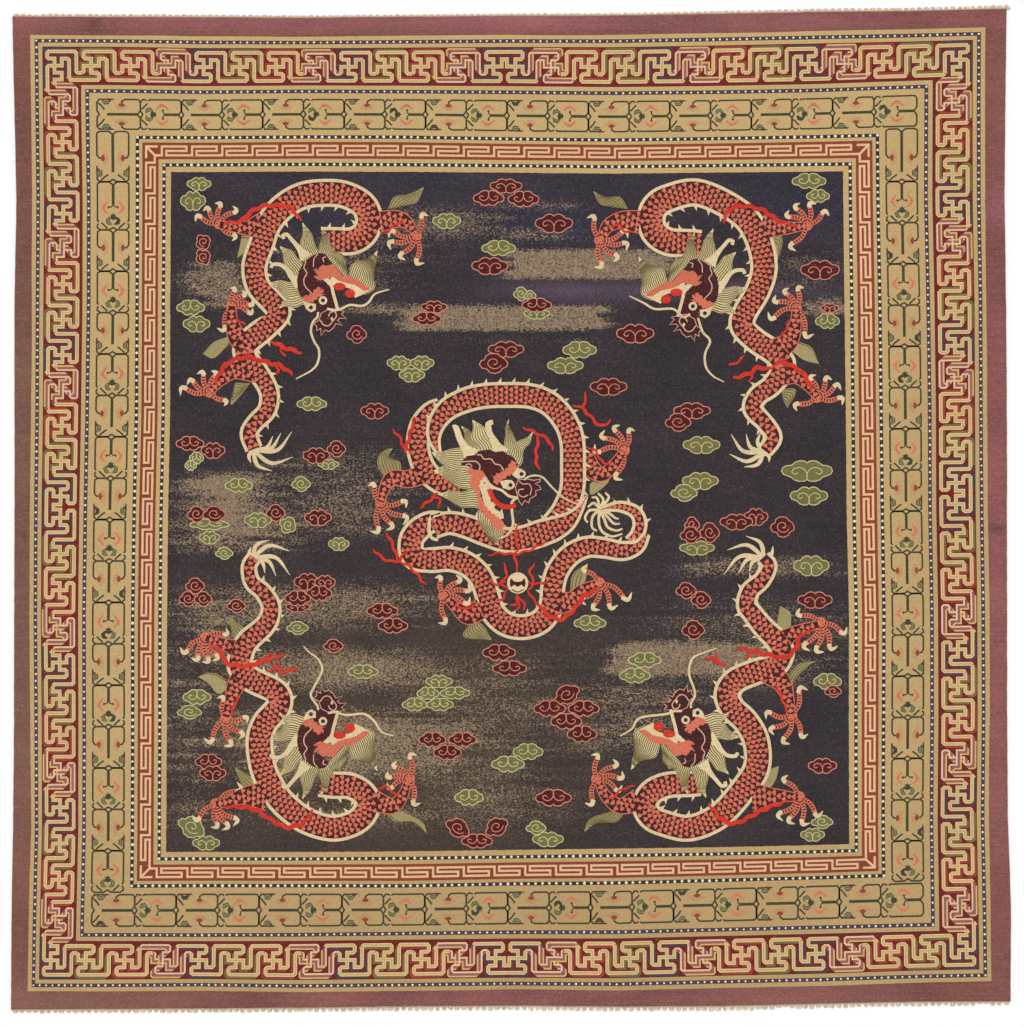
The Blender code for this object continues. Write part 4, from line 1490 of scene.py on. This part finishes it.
# %% The dragon at the head end on the right
body([(701, 244), (688, 243), (669, 242), (656, 234), (651, 221), (655, 207), (669, 198), (699.5, 193),
      (740, 213), (757, 236), (764, 266), (758, 290), (745, 312.6), (742, 326), (755, 340), (774, 353),
      (784, 366), (772, 385), (757.5, 396), (752.5, 409), (765, 423), (773.5, 437.5), (765, 451)],
     (28, 29, 29, 28, 28, 28, 27, 26, 26, 23, 20, 17), 0, 1)
tail_hair((764, 452), [(761, 431.5), (746, 434), (731, 434), (729.4, 454), (744, 467), (769, 462)], -0.24)
limb([(762, 226), (784, 228), (806, 226)], (28, 14, 8), (807, 225),
     [(789, 210), (800, 203), (816, 204), (829, 216), (796, 251)], "++++-")
ribbon([(723, 223), (728, 211), (741, 206), (762, 210), (779, 221), (797, 226)])
leaf([(767, 235), (781, 236), (782, 248), (777, 261), (769, 248)])
limb([(640, 222), (622, 220), (608, 226), (601, 239)], (24, 18, 14, 8), (600, 240),
     [(587, 218), (594, 267), (613, 262), (626, 251), (628, 238)], "-++++")
ribbon([(634, 233), (625, 231), (618, 225), (610, 227)], 2.2)
leaf([(628, 209), (620, 197), (606, 197), (593, 191), (600, 204), (613, 207)])
limb([(772, 352), (788, 342), (795, 326), (796, 308)], (24, 20, 13, 8), (796, 308),
     [(776, 295), (789, 288), (804, 288), (768, 312), (814, 334)], "++++-")
ribbon([(789, 320), (786, 329), (780, 338)], 2.4)
leaf([(800, 342), (812, 348), (819, 364), (804, 360), (793, 352)])
limb([(776, 374), (796, 376), (808, 386), (817, 397)], (26, 17, 11, 8), (817, 397),
     [(816, 375), (832, 380), (841, 390), (842, 405), (797, 411)], "++++-")
ribbon([(772, 366), (782, 362), (797, 369), (807, 379), (812, 392)])
leaf([(781, 389), (795, 389), (794, 398), (787, 408), (783, 399)])
ribbon([(744, 356), (739, 361), (729, 366)], 2.6)
ribbon([(773, 369), (758, 368), (748, 374), (733, 378)])
ribbon([(756, 369), (752, 375), (749, 382)], 2.4)
corner_head(head_at(True, False, (0, 5.8)),
            ([(690, 314), (683, 317), (673, 309), (655, 309), (643, 302.6), (629, 296)],
             [(698, 318), (699.5, 323), (703, 332.5), (710, 341), (705, 354), (706, 367), (713, 376),
              (724, 382)]))

# %% The dragon at the foot end on the left
body([(320, 783), (333, 785), (350, 786), (363, 793), (368, 804), (362, 817), (349, 825), (330, 828),
      (305, 820), (283, 803), (270, 784), (262.5, 766), (259.5, 741), (265, 723), (279, 706), (276, 692),
      (251, 679), (240, 667), (241, 655), (248, 641), (266, 624), (271, 607), (263, 592), (252, 582),
      (249, 567), (254, 557.5)], (28, 27, 27, 27, 28, 28, 28, 27, 27, 26, 23, 19, 16), 0, 1)
tail_hair((252.5, 558), [(269.5, 540), (289.4, 551), (290, 575), (276, 576), (265, 573), (251, 547.6)], -0.24)
limb([(246, 652), (226, 645), (206, 638)], (24, 13, 8), (205.7, 638),
     [(180, 647), (191, 657.5), (202, 662), (212.5, 661), (226, 628)], "++++-")
ribbon([(210, 643), (220, 651), (227, 663), (245, 666), (263, 661), (284, 654)])
ribbon([(268, 671), (276, 668), (284, 672), (298, 667)], 3.6)
ribbon([(267, 661), (268, 656), (271, 652)], 2.6)
ribbon([(275, 669), (278, 665), (280, 662)], 2.6)
leaf([(246, 644), (238, 642), (232, 632), (228, 616), (243, 627), (250, 636)])
limb([(254, 672), (238, 682), (231, 700), (226, 717)], (24, 20, 13, 8), (226, 719),
     [(217, 698), (204, 738), (224, 746), (239, 739), (247, 723)], "-++++")
ribbon([(241, 694), (235, 703), (231, 716)], 2.6)
leaf([(226, 680), (217, 674), (206, 673), (198, 677), (208, 683), (218, 694), (226, 690)])
limb([(266, 796), (244, 796), (228, 802), (216, 804)], (30, 18, 10, 8), (216, 804),
     [(192, 815), (211, 827), (222, 830), (233, 826), (237, 782)], "++++-")
ribbon([(224, 807), (240, 807), (254, 809), (270, 819), (286, 827), (303, 823), (313, 810)])
leaf([(262, 786), (249, 776), (235, 767), (240, 781), (248, 792), (260, 793)])
limb([(374, 801), (392, 806), (402, 797), (408, 782)], (22, 16, 12, 8), (409, 779),
     [(388, 771), (387, 783), (397, 761), (417, 755), (421, 803)], "++++-")
ribbon([(377, 789), (387, 787), (399, 798)], 2.4)
leaf([(386, 811), (395, 822), (412, 822), (427, 833), (422, 822), (402, 811)])
corner_head(head_at(False, True),
            ([(328, 713), (336, 712), (346, 715), (364, 714), (374, 721), (382, 732), (394, 736)],
             [(318, 710), (317.6, 706), (311, 696), (313.5, 688), (322, 671), (319, 660), (309, 652),
              (303.5, 646)]))

# %% The dragon at the foot end on the right
body([(700, 783), (689, 784), (668, 785), (652, 792), (645, 804), (650, 816), (663, 823), (690, 828),
      (720, 815), (745, 787), (757, 766), (756, 741), (746, 722), (732, 708), (727, 694), (735, 681),
      (755, 672), (774, 666), (782, 653), (777, 641), (764, 628), (752, 613), (746.5, 605), (750, 591),
      (762, 580), (769, 566), (763, 557.5)], (26, 27, 27, 27, 28, 28, 28, 27, 27, 26, 23, 20, 16), 0, -1)
tail_hair((764, 558), [(746, 536), (727, 550), (724, 574), (738.5, 573), (749, 572), (773, 546)])
limb([(776, 646), (792, 634), (818, 624)], (24, 15, 8), (820.5, 623),
     [(847, 627), (838, 646), (824, 652), (810, 651), (800, 608)], "----+")
ribbon([(812, 631), (801, 635), (796, 648), (786, 657), (770, 655), (752, 651), (736, 648)])
ribbon([(727, 667), (716, 661), (704, 657)], 3.4)
ribbon([(719, 663), (716, 658), (717, 653)], 2.4)
ribbon([(757, 652), (751, 655), (744, 658)], 2.4)
leaf([(791, 625), (790, 612), (780, 606), (778, 618), (777, 631), (784, 633)])
limb([(768, 672), (781, 682), (788, 698), (791, 714)], (24, 20, 13, 8), (791.5, 716),
     [(808, 690), (766, 719), (774, 735), (790, 744), (808, 734)], "+----")
ribbon([(776, 685), (782, 698), (787, 712)], 2.6)
leaf([(791, 690), (796, 678), (806, 668), (816, 661), (801, 663), (791, 672), (787, 682)])
limb([(752, 797), (774, 796), (798, 797)], (30, 16, 8), (799, 797),
     [(823, 811), (810, 823), (795, 824), (783, 821), (788, 775)], "----+")
ribbon([(709, 803), (719, 817), (736, 823), (764, 809), (788, 801)])
leaf([(757, 789), (759, 777), (767, 770), (779, 766), (776, 779), (768, 791)])
limb([(638, 800), (620, 806), (606, 796), (598, 781)], (22, 16, 12, 8), (597, 779),
     [(591, 755), (613, 759), (622, 771), (622, 785), (585, 803)], "----+")
ribbon([(635, 786), (623, 789), (609, 800)], 2.4)
leaf([(626, 810), (616, 822), (598, 823), (584, 832), (590, 819), (608, 812)])
corner_head(head_at(True, True, (-7.2, -1.3)),
            ([(682, 711), (674.6, 711), (666, 714), (640, 718), (631.5, 729), (620, 736)],
             [(691, 708), (691, 703), (695, 693), (689, 673), (693, 658), (706, 652), (717, 648)]))

# %% [markdown]
# ## The dragon in the middle and its pearl
# The middle dragon curls into a ring round its own head and holds a flaming pearl in the loop
# below. Where one length of its body lies over another, its bed is raised, so that the light rim
# of the upper one closes the lower one off.

# %% The body of the middle dragon
body([(628, 541), (637, 534), (640, 523), (635, 512), (620, 506.5), (602, 509)], (10, 15, 15, 14, 12, 6), -1,
     1, 4)
body([(462, 487), (441, 483), (425, 469), (418, 447), (421, 426), (431, 412), (441, 406)],
     (24, 24, 24, 24, 24, 22, 18), 0, 0)
body([(446, 522), (428, 523), (412, 538), (413, 556), (430, 560), (450, 559), (468, 565), (481, 578),
      (488, 597), (493, 612), (506, 624), (524, 627), (541, 621), (551, 606), (553, 586), (558, 570),
      (570, 555), (587, 547), (605, 548), (622, 551), (638, 547), (647, 534)],
     (20, 26, 26, 26, 26, 26, 26, 26, 26, 25, 24, 22, 20, 8), 0, -1, 60)
body([(439, 454), (434, 438), (437, 423), (448, 409), (466, 400), (484, 396), (503, 395), (530, 396),
      (550, 404), (565, 421), (572, 440), (573, 465), (572, 490), (564, 510), (556, 521), (548, 530)],
     (6, 15, 20, 24, 26, 26, 26, 26, 26, 26, 26, 26, 26, 26, 26, 26), 1, -1, 40)
body([(587, 496), (578, 511), (568, 521.5), (555, 528.5), (540, 533.5), (524, 538.5), (506, 540), (484, 533),
      (465, 526), (449, 523), (434, 527)], (3, 11, 20, 26, 28, 27, 26, 26, 25, 24, 24), 2, 1)
edge_bed.ribbon(flow([(440, 512.5), (432, 515), (429, 526), (431, 537), (438, 540)], 2), 3.2, "ivory",
                2 * OVER)
TAIL_STRANDS = (
    [(600, 509), (608.7, 498), (605.3, 492.6)], [(600, 509), (603.3, 499.7), (597.8, 493)],
    [(600, 509), (597, 498), (591.6, 497.6)], [(600, 509), (593.7, 503), (587.8, 507.2)],
    [(600, 510), (589.5, 510.5), (585, 518), (587.8, 522.6)],
    [(600, 510), (592.8, 516.3), (592, 527.2), (597, 530.9)],
    [(600, 510), (598.7, 521.3), (602, 531.3), (612, 536.3), (622.4, 533.8)],
    [(600, 510), (604.5, 519.7), (607.8, 527.2), (616.2, 530.5), (622.4, 528.8)],
    [(602, 510), (607.8, 517.2), (613.7, 523.4), (620, 523.8)],
    [(604, 510), (611.2, 514.7), (615.3, 518), (618.7, 518.8)],
)
for strand in TAIL_STRANDS:
    trail_bed.ribbon(flow(strand, 1.8), (2.8, 2.7, 2.5, 1.8), "ivory")

# %% Limbs, flames and pearl of the middle dragon
limb([(584, 456), (593, 470), (604, 474), (616, 462), (623, 451)], (20, 18, 14, 11, 8), (624, 450),
     [(595, 444), (605, 430), (620, 425), (635, 431), (623, 480)], "++++-")
ribbon([(586, 446), (596, 452), (603, 463), (612, 462)], 2.4)
leaf([(595, 480), (610, 475), (607, 484), (591, 495), (590, 484)])
limb([(424, 474), (408, 479), (392, 478), (384, 490), (381, 502)], (20, 18, 15, 11, 8), (381, 503),
     [(368, 486), (406, 508), (403, 525), (386, 530), (370, 531)], "-++++")
leaf([(384, 478), (377, 462), (383, 451), (393, 448), (389, 457), (400, 462), (401, 474)])
limb([(482, 608), (468, 616), (456, 607), (446, 598)], (22, 18, 12, 8), (444, 596),
     [(435, 578), (456, 575), (468, 583), (470, 597), (438, 623)], "----+")
ribbon([(456, 604), (465, 609), (477, 603)], 2.4)
leaf([(468, 624), (464, 637), (492, 640), (485, 628), (477, 620)])
limb([(556, 604), (572, 600), (582, 590), (598, 583)], (24, 18, 12, 8), (599, 583),
     [(587, 565), (586, 605), (600, 610), (618, 605), (632, 592)], "+----")
ribbon([(538, 603), (548, 615), (562, 619), (575, 608), (585, 595), (599, 588)])
leaf([(570, 592), (573, 574), (588, 563), (586, 578), (582, 588)])
MIDDLE_RIBBONS = (  # courses and widths
    ([(573, 405), (582, 408), (592, 418), (601, 426), (611, 420)], 3.4),
    ([(581, 407), (586, 400), (584, 392)], 2.8),
    ([(523, 427), (533, 432), (541, 435), (549, 441), (553, 451)], 3.4),
    ([(539, 434), (537, 446), (536, 459), (539, 470)], 3.4),
    ([(415, 417), (411, 431), (407, 446), (410, 454)], 3.6), ([(405, 453), (401, 440), (393, 429)], 2.8),
    ([(438, 493), (430, 500), (420, 508)], 3.2), ([(431, 496), (439, 499), (439, 508)], 2.4),
    ([(387, 533), (394, 548), (398, 560)], 3.2), ([(373, 549), (384, 559), (397, 561), (407, 551)], 3.2),
    ([(400, 561), (411, 568), (426, 585)], 3.0),
)
for course, width in MIDDLE_RIBBONS:
    ribbon(course, width)

PEARL = (517.7, 583.0)
PEARL_FLAMES = (
    [(514, 575), (518, 566), (514, 558), (518, 548), (516, 536), (518, 523)],
    [(488, 555), (500, 553), (514, 554), (530, 550), (547, 541)],
    [(508, 590), (502, 583), (507, 573), (503, 563)], [(506, 582), (496, 584), (487, 581)],
    [(507, 590), (503, 598), (497, 601)], [(527, 590), (534, 583), (530, 573), (534, 563)],
    [(529, 582), (538, 584), (548, 581)], [(528, 590), (533, 599), (540, 606)],
    [(518, 594), (516, 603), (510, 606)], [(518, 597), (519, 604), (516, 611)],
    [(518, 596), (523, 602), (525, 610)],
)
for course in PEARL_FLAMES:
    ribbon(course, 2.6)
head_bed.shape(blob(PEARL, 21.5, 21.5, 16), "ivory")
ZIGZAG = [
    (-7, -5), (-3.6, -1.6), (0, -1.2), (3.6, -1.6), (7, -5), (8, 0), (7, 4.5), (3.5, 1.6), (0, 4),
    (-3.5, 1.6), (-7, 4.5), (-8, 0),
]
face_bed.shape(np.array(PEARL) + ZIGZAG, "cloud plum")
face_bed.ribbon(flow(np.array(PEARL) + [(-6, 6.4), (0, 9), (6, 6.4)], 2), 1.1, "cloud plum")


# %% The head of the middle dragon
MIDDLE_FLAMES = (
    ([(482, 510), (462, 506), (448, 501), (439, 492.5)], [(478, 490), (460, 491), (439, 492.5)]),
    ([(480, 494), (458, 486), (444, 479), (433.5, 469.5)], [(476, 462), (454, 464), (433.5, 469.5)]),
    ([(478, 476), (455, 469), (440, 464), (432, 451)], [(474, 450), (456, 447), (444, 452), (432, 451)]),
    ([(468, 458), (464, 440), (462, 425)], [(486, 450), (474, 436), (462, 425)]),
    ([(480, 452), (472, 436), (473.5, 419)], [(496, 450), (487, 432), (473.5, 419)]),
    ([(500, 454), (506, 438), (504, 428), (510, 419.5)], [(517, 456), (517, 440), (509, 428), (510, 419.5)]),
    ([(510, 458), (518, 442), (534, 432.5)], [(520, 466), (525, 450), (530, 441), (534, 432.5)]),
    ([(478, 510), (480, 526), (488, 536), (497, 546)], [(506, 526), (502, 534), (500, 540), (497, 546)]),
)
MIDDLE_SKULL = [
    (463, 460), (467, 456), (476, 455), (478, 451.5), (484, 450), (490, 449.5), (495, 452), (503, 451),
    (508, 455), (513, 457), (517, 462), (511, 467), (505, 471), (498, 474), (494, 478), (495, 484),
    (490, 483), (486, 476), (482, 470), (475, 470), (468, 466), (461, 465),
]
MIDDLE_FACE = [
    (490, 478), (500, 480), (512, 479), (526, 479), (532, 490), (524, 500), (512, 498), (500, 490),
    (491, 486),
]
MIDDLE_NOSE = [
    (518, 479.5), (526, 478.5), (534, 480), (541, 478.5), (540, 482), (535.5, 483.5), (540, 486),
    (541.5, 489.5), (536, 491), (536.5, 495.5), (530, 499), (529, 503.5), (525, 501), (522, 505.5),
    (519, 502), (517, 496), (515, 487),
]
MIDDLE_JAW = [
    (470, 467), (476, 466), (482, 470), (486, 476), (481, 480), (479, 488), (481, 496), (485, 505),
    (491, 512), (499, 518), (505, 526), (497, 530), (490, 522), (484, 514), (478, 508), (478, 499),
    (474, 490), (469, 484), (472, 476), (467, 473),
]
MIDDLE_GUMS = [
    (479, 477), (485, 475), (491, 484), (494, 489), (489, 491), (491, 502), (497, 502), (494, 508),
    (500, 512), (502, 508), (504, 518), (499, 520), (491, 514), (484, 505), (482, 495), (479, 486),
]
MIDDLE_BROW = [
    (493, 477), (497, 473.5), (504, 471), (509, 465), (511, 461), (515, 461), (516, 465), (520, 467),
    (515, 473), (508, 476), (503, 480), (496, 485), (494, 482),
]
MIDDLE_HORNS = (
    ([(453, 428), (456, 428), (459, 437), (464, 446), (472, 456)], (5.4, 6.6, 6.4, 9, 18)),
    ([(493, 422), (488.5, 424), (489, 432), (494, 441), (500, 454)], (4.6, 6.6, 6, 9, 20)),
)
MIDDLE_PATCHES = (
    (MIDDLE_GUMS, "cream"), (frilled(MIDDLE_JAW), "coral"), (MIDDLE_SKULL, "scale plum"),
    (MIDDLE_FACE, "scale plum"), (MIDDLE_NOSE, "shell"), (shrunk(MIDDLE_NOSE, 0.7), "scale plum"),
    (frilled(MIDDLE_BROW), "coral"),
)
MIDDLE_LINES = (
    ([(477, 455), (481, 455), (484, 459), (491, 459), (495, 464), (500, 465), (504, 471)], "shell", 1.2),
    ([(459, 462), (467, 461.5), (476, 461.5), (480, 466), (479, 470)], "shell", 1.2),
    ([(466, 468), (466, 465), (470, 464), (472, 467)], "shell", 1.0),
    ([(519, 481), (523, 484), (529, 484), (531.5, 489), (530, 495)], "shell", 1.0),
    ([(524, 489), (519, 490), (518.5, 494), (523, 497), (528, 495)], "shell", 1.1),
    ([(484, 480), (494, 487.5), (502, 490.5), (509, 496), (518, 498)], "ivory", 2.6),
    ([(489, 489), (493, 498), (499, 504.5), (507, 507), (516, 505)], "flame", 4.8),
)
MIDDLE_SPOTS = (
    (blob((484.5, 483), 2.4, 1.8, 6), "umber plum"),
    ([(512, 475), (517, 468), (522, 469), (525, 477), (518, 479)], "ivory"),
    ([(500, 482), (505, 480), (512, 480), (515, 486), (509, 490), (503, 488)], "ivory"),
)
MIDDLE_EYES = ((521.5, 474), (510.5, 485))
MIDDLE_HAND = (2.6, 1.1, 2)
head(MIDDLE_FLAMES, MIDDLE_HORNS, MIDDLE_PATCHES, MIDDLE_LINES, MIDDLE_SPOTS, MIDDLE_EYES, MIDDLE_HAND)
whisker([(524, 480), (529, 476.5), (536, 475.5), (543, 477.5), (550, 485), (560, 495), (569, 501),
         (579, 505)], 1.9)
whisker([(517, 498), (512, 502), (512, 512), (513, 524), (508, 534), (499, 539)], 2.6)
for bed in DRAGON_BEDS:
    bed.woven(motif_wool)
# %% [markdown]
# ## Fringes
# At both ends the undyed warps come out of the cloth, run through a narrow bare web and end in
# short ragged locks. A fringe could be a flat strip with holes, but its yarns catch the light one
# by one, so each is a thin tube. The tubes of one lock lean together, and no two are as long.

# %% How far the fringes reach
LOCKS, YARNS_A_LOCK, YARN_SIDES = 149, 10, 5
YARN_RADIUS = 1.15 * MM
WEB_STEPS = 400
WEB_PROFILE = ((-3, 0.1), (-3, 2.9), (4.5, 2.6), (6.5, 0.9), (6.5, 0.1))  # mm past the pile and up
YARN_STATIONS = (0.0, 0.3, 0.6, 0.85, 1.0)  # parts of a yarn's length
# Station across the carpet in metres, and how far the fringe reaches past the pile there, in mm.
HEAD_REACH = (
    (-2.50, 16), (-2.42, 15), (-2.38, 9), (-2.33, 16), (-1.2, 14), (0, 12), (1, 15), (1.8, 19), (2.52, 20),
)
FOOT_REACH = (
    (-2.5, 21), (-1.3, 24), (0, 27), (1.3, 28), (1.37, 13), (1.44, 28), (2.0, 26), (2.32, 24), (2.36, 10),
    (2.40, 23), (2.5, 22),
)


def pile_end(x, lines):  # in metres
    lines = np.array(lines)
    row = np.interp(x / KNOT + CHART_MIDDLE[0], lines[:, 0], lines[:, 1])
    return (CHART_MIDDLE[1] - row) * KNOT


# %% Webs, locks and yarns
def sleeve(mesh_parts, rings, tone):
    """Adds a tube through rings of points, without its ends."""
    points, faces, tones = mesh_parts
    first, count = len(points), len(rings[0])
    for ring in rings:
        points.extend(ring)
        tones.extend([tone] * count)
    for start in range(first, len(points) - count, count):
        for side in range(count):
            after = (side + 1) % count
            faces.append([start + side, start + after, start + count + after, start + count + side])


def yarn_ring(part, x, y, z):
    radius = YARN_RADIUS * (1 - 0.35 * part)
    turns = [2 * math.pi * side / YARN_SIDES for side in range(YARN_SIDES)]
    return [(x + radius * math.cos(turn), y, max(0.05 * MM, z + radius * math.sin(turn))) for turn in turns]


def fringe(name, lines, reach, outward, node, seed):
    """The web and the locks at one end. outward is +1 at the head and -1 at the foot."""
    low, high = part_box(node)
    low, high = low[0], high[0]
    lot = random.Random(seed)
    gathered = points, faces, tones = [], [], []
    stations = np.linspace(low + 2 * MM, high - 2 * MM, WEB_STEPS)
    edges = [pile_end(x, lines) for x in stations]
    sleeve(gathered, [[(x, edge + outward * out * MM, z * MM) for out, z in WEB_PROFILE]
                      for x, edge in zip(stations, edges)], 0.9)
    width = (high - low - 8 * MM) / LOCKS
    for place in range(LOCKS):
        middle = low + 4 * MM + (place + 0.5) * width
        gather, lean = lot.uniform(0.5, 0.9), lot.uniform(-3, 3) * MM
        lock_reach = np.interp(middle, *zip(*reach)) * lot.uniform(0.86, 1.06)
        for yarn in range(YARNS_A_LOCK):
            off = (yarn + 0.5) / YARNS_A_LOCK - 0.5
            length = lock_reach * (1 - 0.35 * abs(off)) * lot.uniform(0.82, 1.04) * MM
            bend, tone = lot.uniform(-2.2, 2.2) * MM, lot.uniform(0.8, 1.12)
            rings = []
            for part in YARN_STATIONS:
                x = middle + off * width * (1 - part + part * gather) + lean * part**2
                x = min(max(x + bend * math.sin(3.1 * part), low + 1.5 * MM), high - 1.5 * MM)
                y = pile_end(middle, lines) + outward * (1.5 * MM + length * part)
                z = (2.4 - 1.0 * part + 0.5 * math.sin(5 * part + yarn)) * MM
                rings.append(yarn_ring(part, x, y, z))
            sleeve(gathered, rings, tone)
            faces.append([len(points) - YARN_SIDES + side for side in range(YARN_SIDES)])
    mesh = bpy.data.meshes.new(name)
    mesh.from_pydata(points, [], faces if outward < 0 else [face[::-1] for face in faces])
    colours = mesh.attributes.new("dye", "FLOAT_COLOR", "POINT")
    colours.data.foreach_set("color", (np.array(dye("warp yarn")) * np.array(tones)[:, None]).ravel())
    piece = placed(mesh, YARN_FINISH)
    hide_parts(node)


# %% The yarn's finish and the two fringes
def yarn_wool():
    finish = Finish("undyed warp yarn", sheen=0.15)
    place = finish.place()
    twist = finish.noise(place, (900, 300, 300), 2)
    dust = finish.noise(place, (30, 60, 1), 3)
    colour = finish.toned(finish.dyed("dye"), 0.72 + 0.3 * twist + 0.3 * dust)
    finish.feed("Base Color", colour)
    finish.feed("Roughness", 0.8 + 0.15 * twist)
    finish.bumped(twist, 0.4 * MM)
    return finish.material


YARN_FINISH = yarn_wool()
fringe("head_fringe_locks", HEAD_LINES, HEAD_REACH, 1, "fringe_head", 11)
fringe("foot_fringe_locks", FOOT_LINES, FOOT_REACH, -1, "fringe_foot", 12)

# %% [markdown]
# ## Floor, light and camera
# The carpet lies on a pale studio floor, seen from straight above. The light is an even white
# surround with one broad soft lamp from the head end, so that the pile's small steps show.

# %% Floor
FLOOR_HALF, FLOOR_DROP = 30.0, 0.2 * MM
floor_mesh = bpy.data.meshes.new("studio_floor")
floor_corners = [(x * FLOOR_HALF, y * FLOOR_HALF, -FLOOR_DROP)
                 for x, y in ((-1, -1), (1, -1), (1, 1), (-1, 1))]
floor_mesh.from_pydata(floor_corners, [], [(0, 1, 2, 3)])
floor = bpy.data.objects.new("studio_floor", floor_mesh)
bpy.context.scene.collection.objects.link(floor)
floor_finish = Finish("pale studio floor", roughness=0.8, sheen=0.0)
floor_tone = floor_finish.noise(floor_finish.place(), (0.6, 0.6, 1), 2)
floor_finish.feed("Base Color", floor_finish.toned((0.985, 0.985, 0.985), 0.99 + 0.02 * floor_tone))
floor_mesh.materials.append(floor_finish.material)

# %% Light
world = bpy.data.worlds.new("soft surround")
world.use_nodes = True
surround = world.node_tree.nodes["Background"].inputs
surround["Color"].default_value = (1.0, 1.0, 1.0, 1.0)
surround["Strength"].default_value = 0.72
bpy.context.scene.world = world
lamp_data = bpy.data.lights.new("broad lamp", "SUN")
lamp_data.energy = 1.35
lamp_data.angle = math.radians(35)
lamp = bpy.data.objects.new("broad lamp", lamp_data)
lamp.rotation_euler = (math.radians(-42), math.radians(-22), 0.0)
bpy.context.scene.collection.objects.link(lamp)
bpy.context.scene.view_settings.view_transform = "Standard"

# %% Camera
PICTURE = (1024, 1027)  # the picture's size in its own dots, one dot to a knot
camera_data = bpy.data.cameras.new("over the carpet")
camera_data.sensor_fit = "HORIZONTAL"
camera_data.sensor_width = 36.0
camera_data.lens = 80.0
picture_middle = on_floor((PICTURE[0] / 2, PICTURE[1] / 2))[0]
camera_height = PICTURE[0] * KNOT * camera_data.lens / camera_data.sensor_width
camera = bpy.data.objects.new("over the carpet", camera_data)
camera.location = (*picture_middle, camera_height + FIELD_TOP * MM)
bpy.context.scene.collection.objects.link(camera)
bpy.context.scene.camera = camera
print("the camera hangs", round(camera_height, 2), "m above the floor")
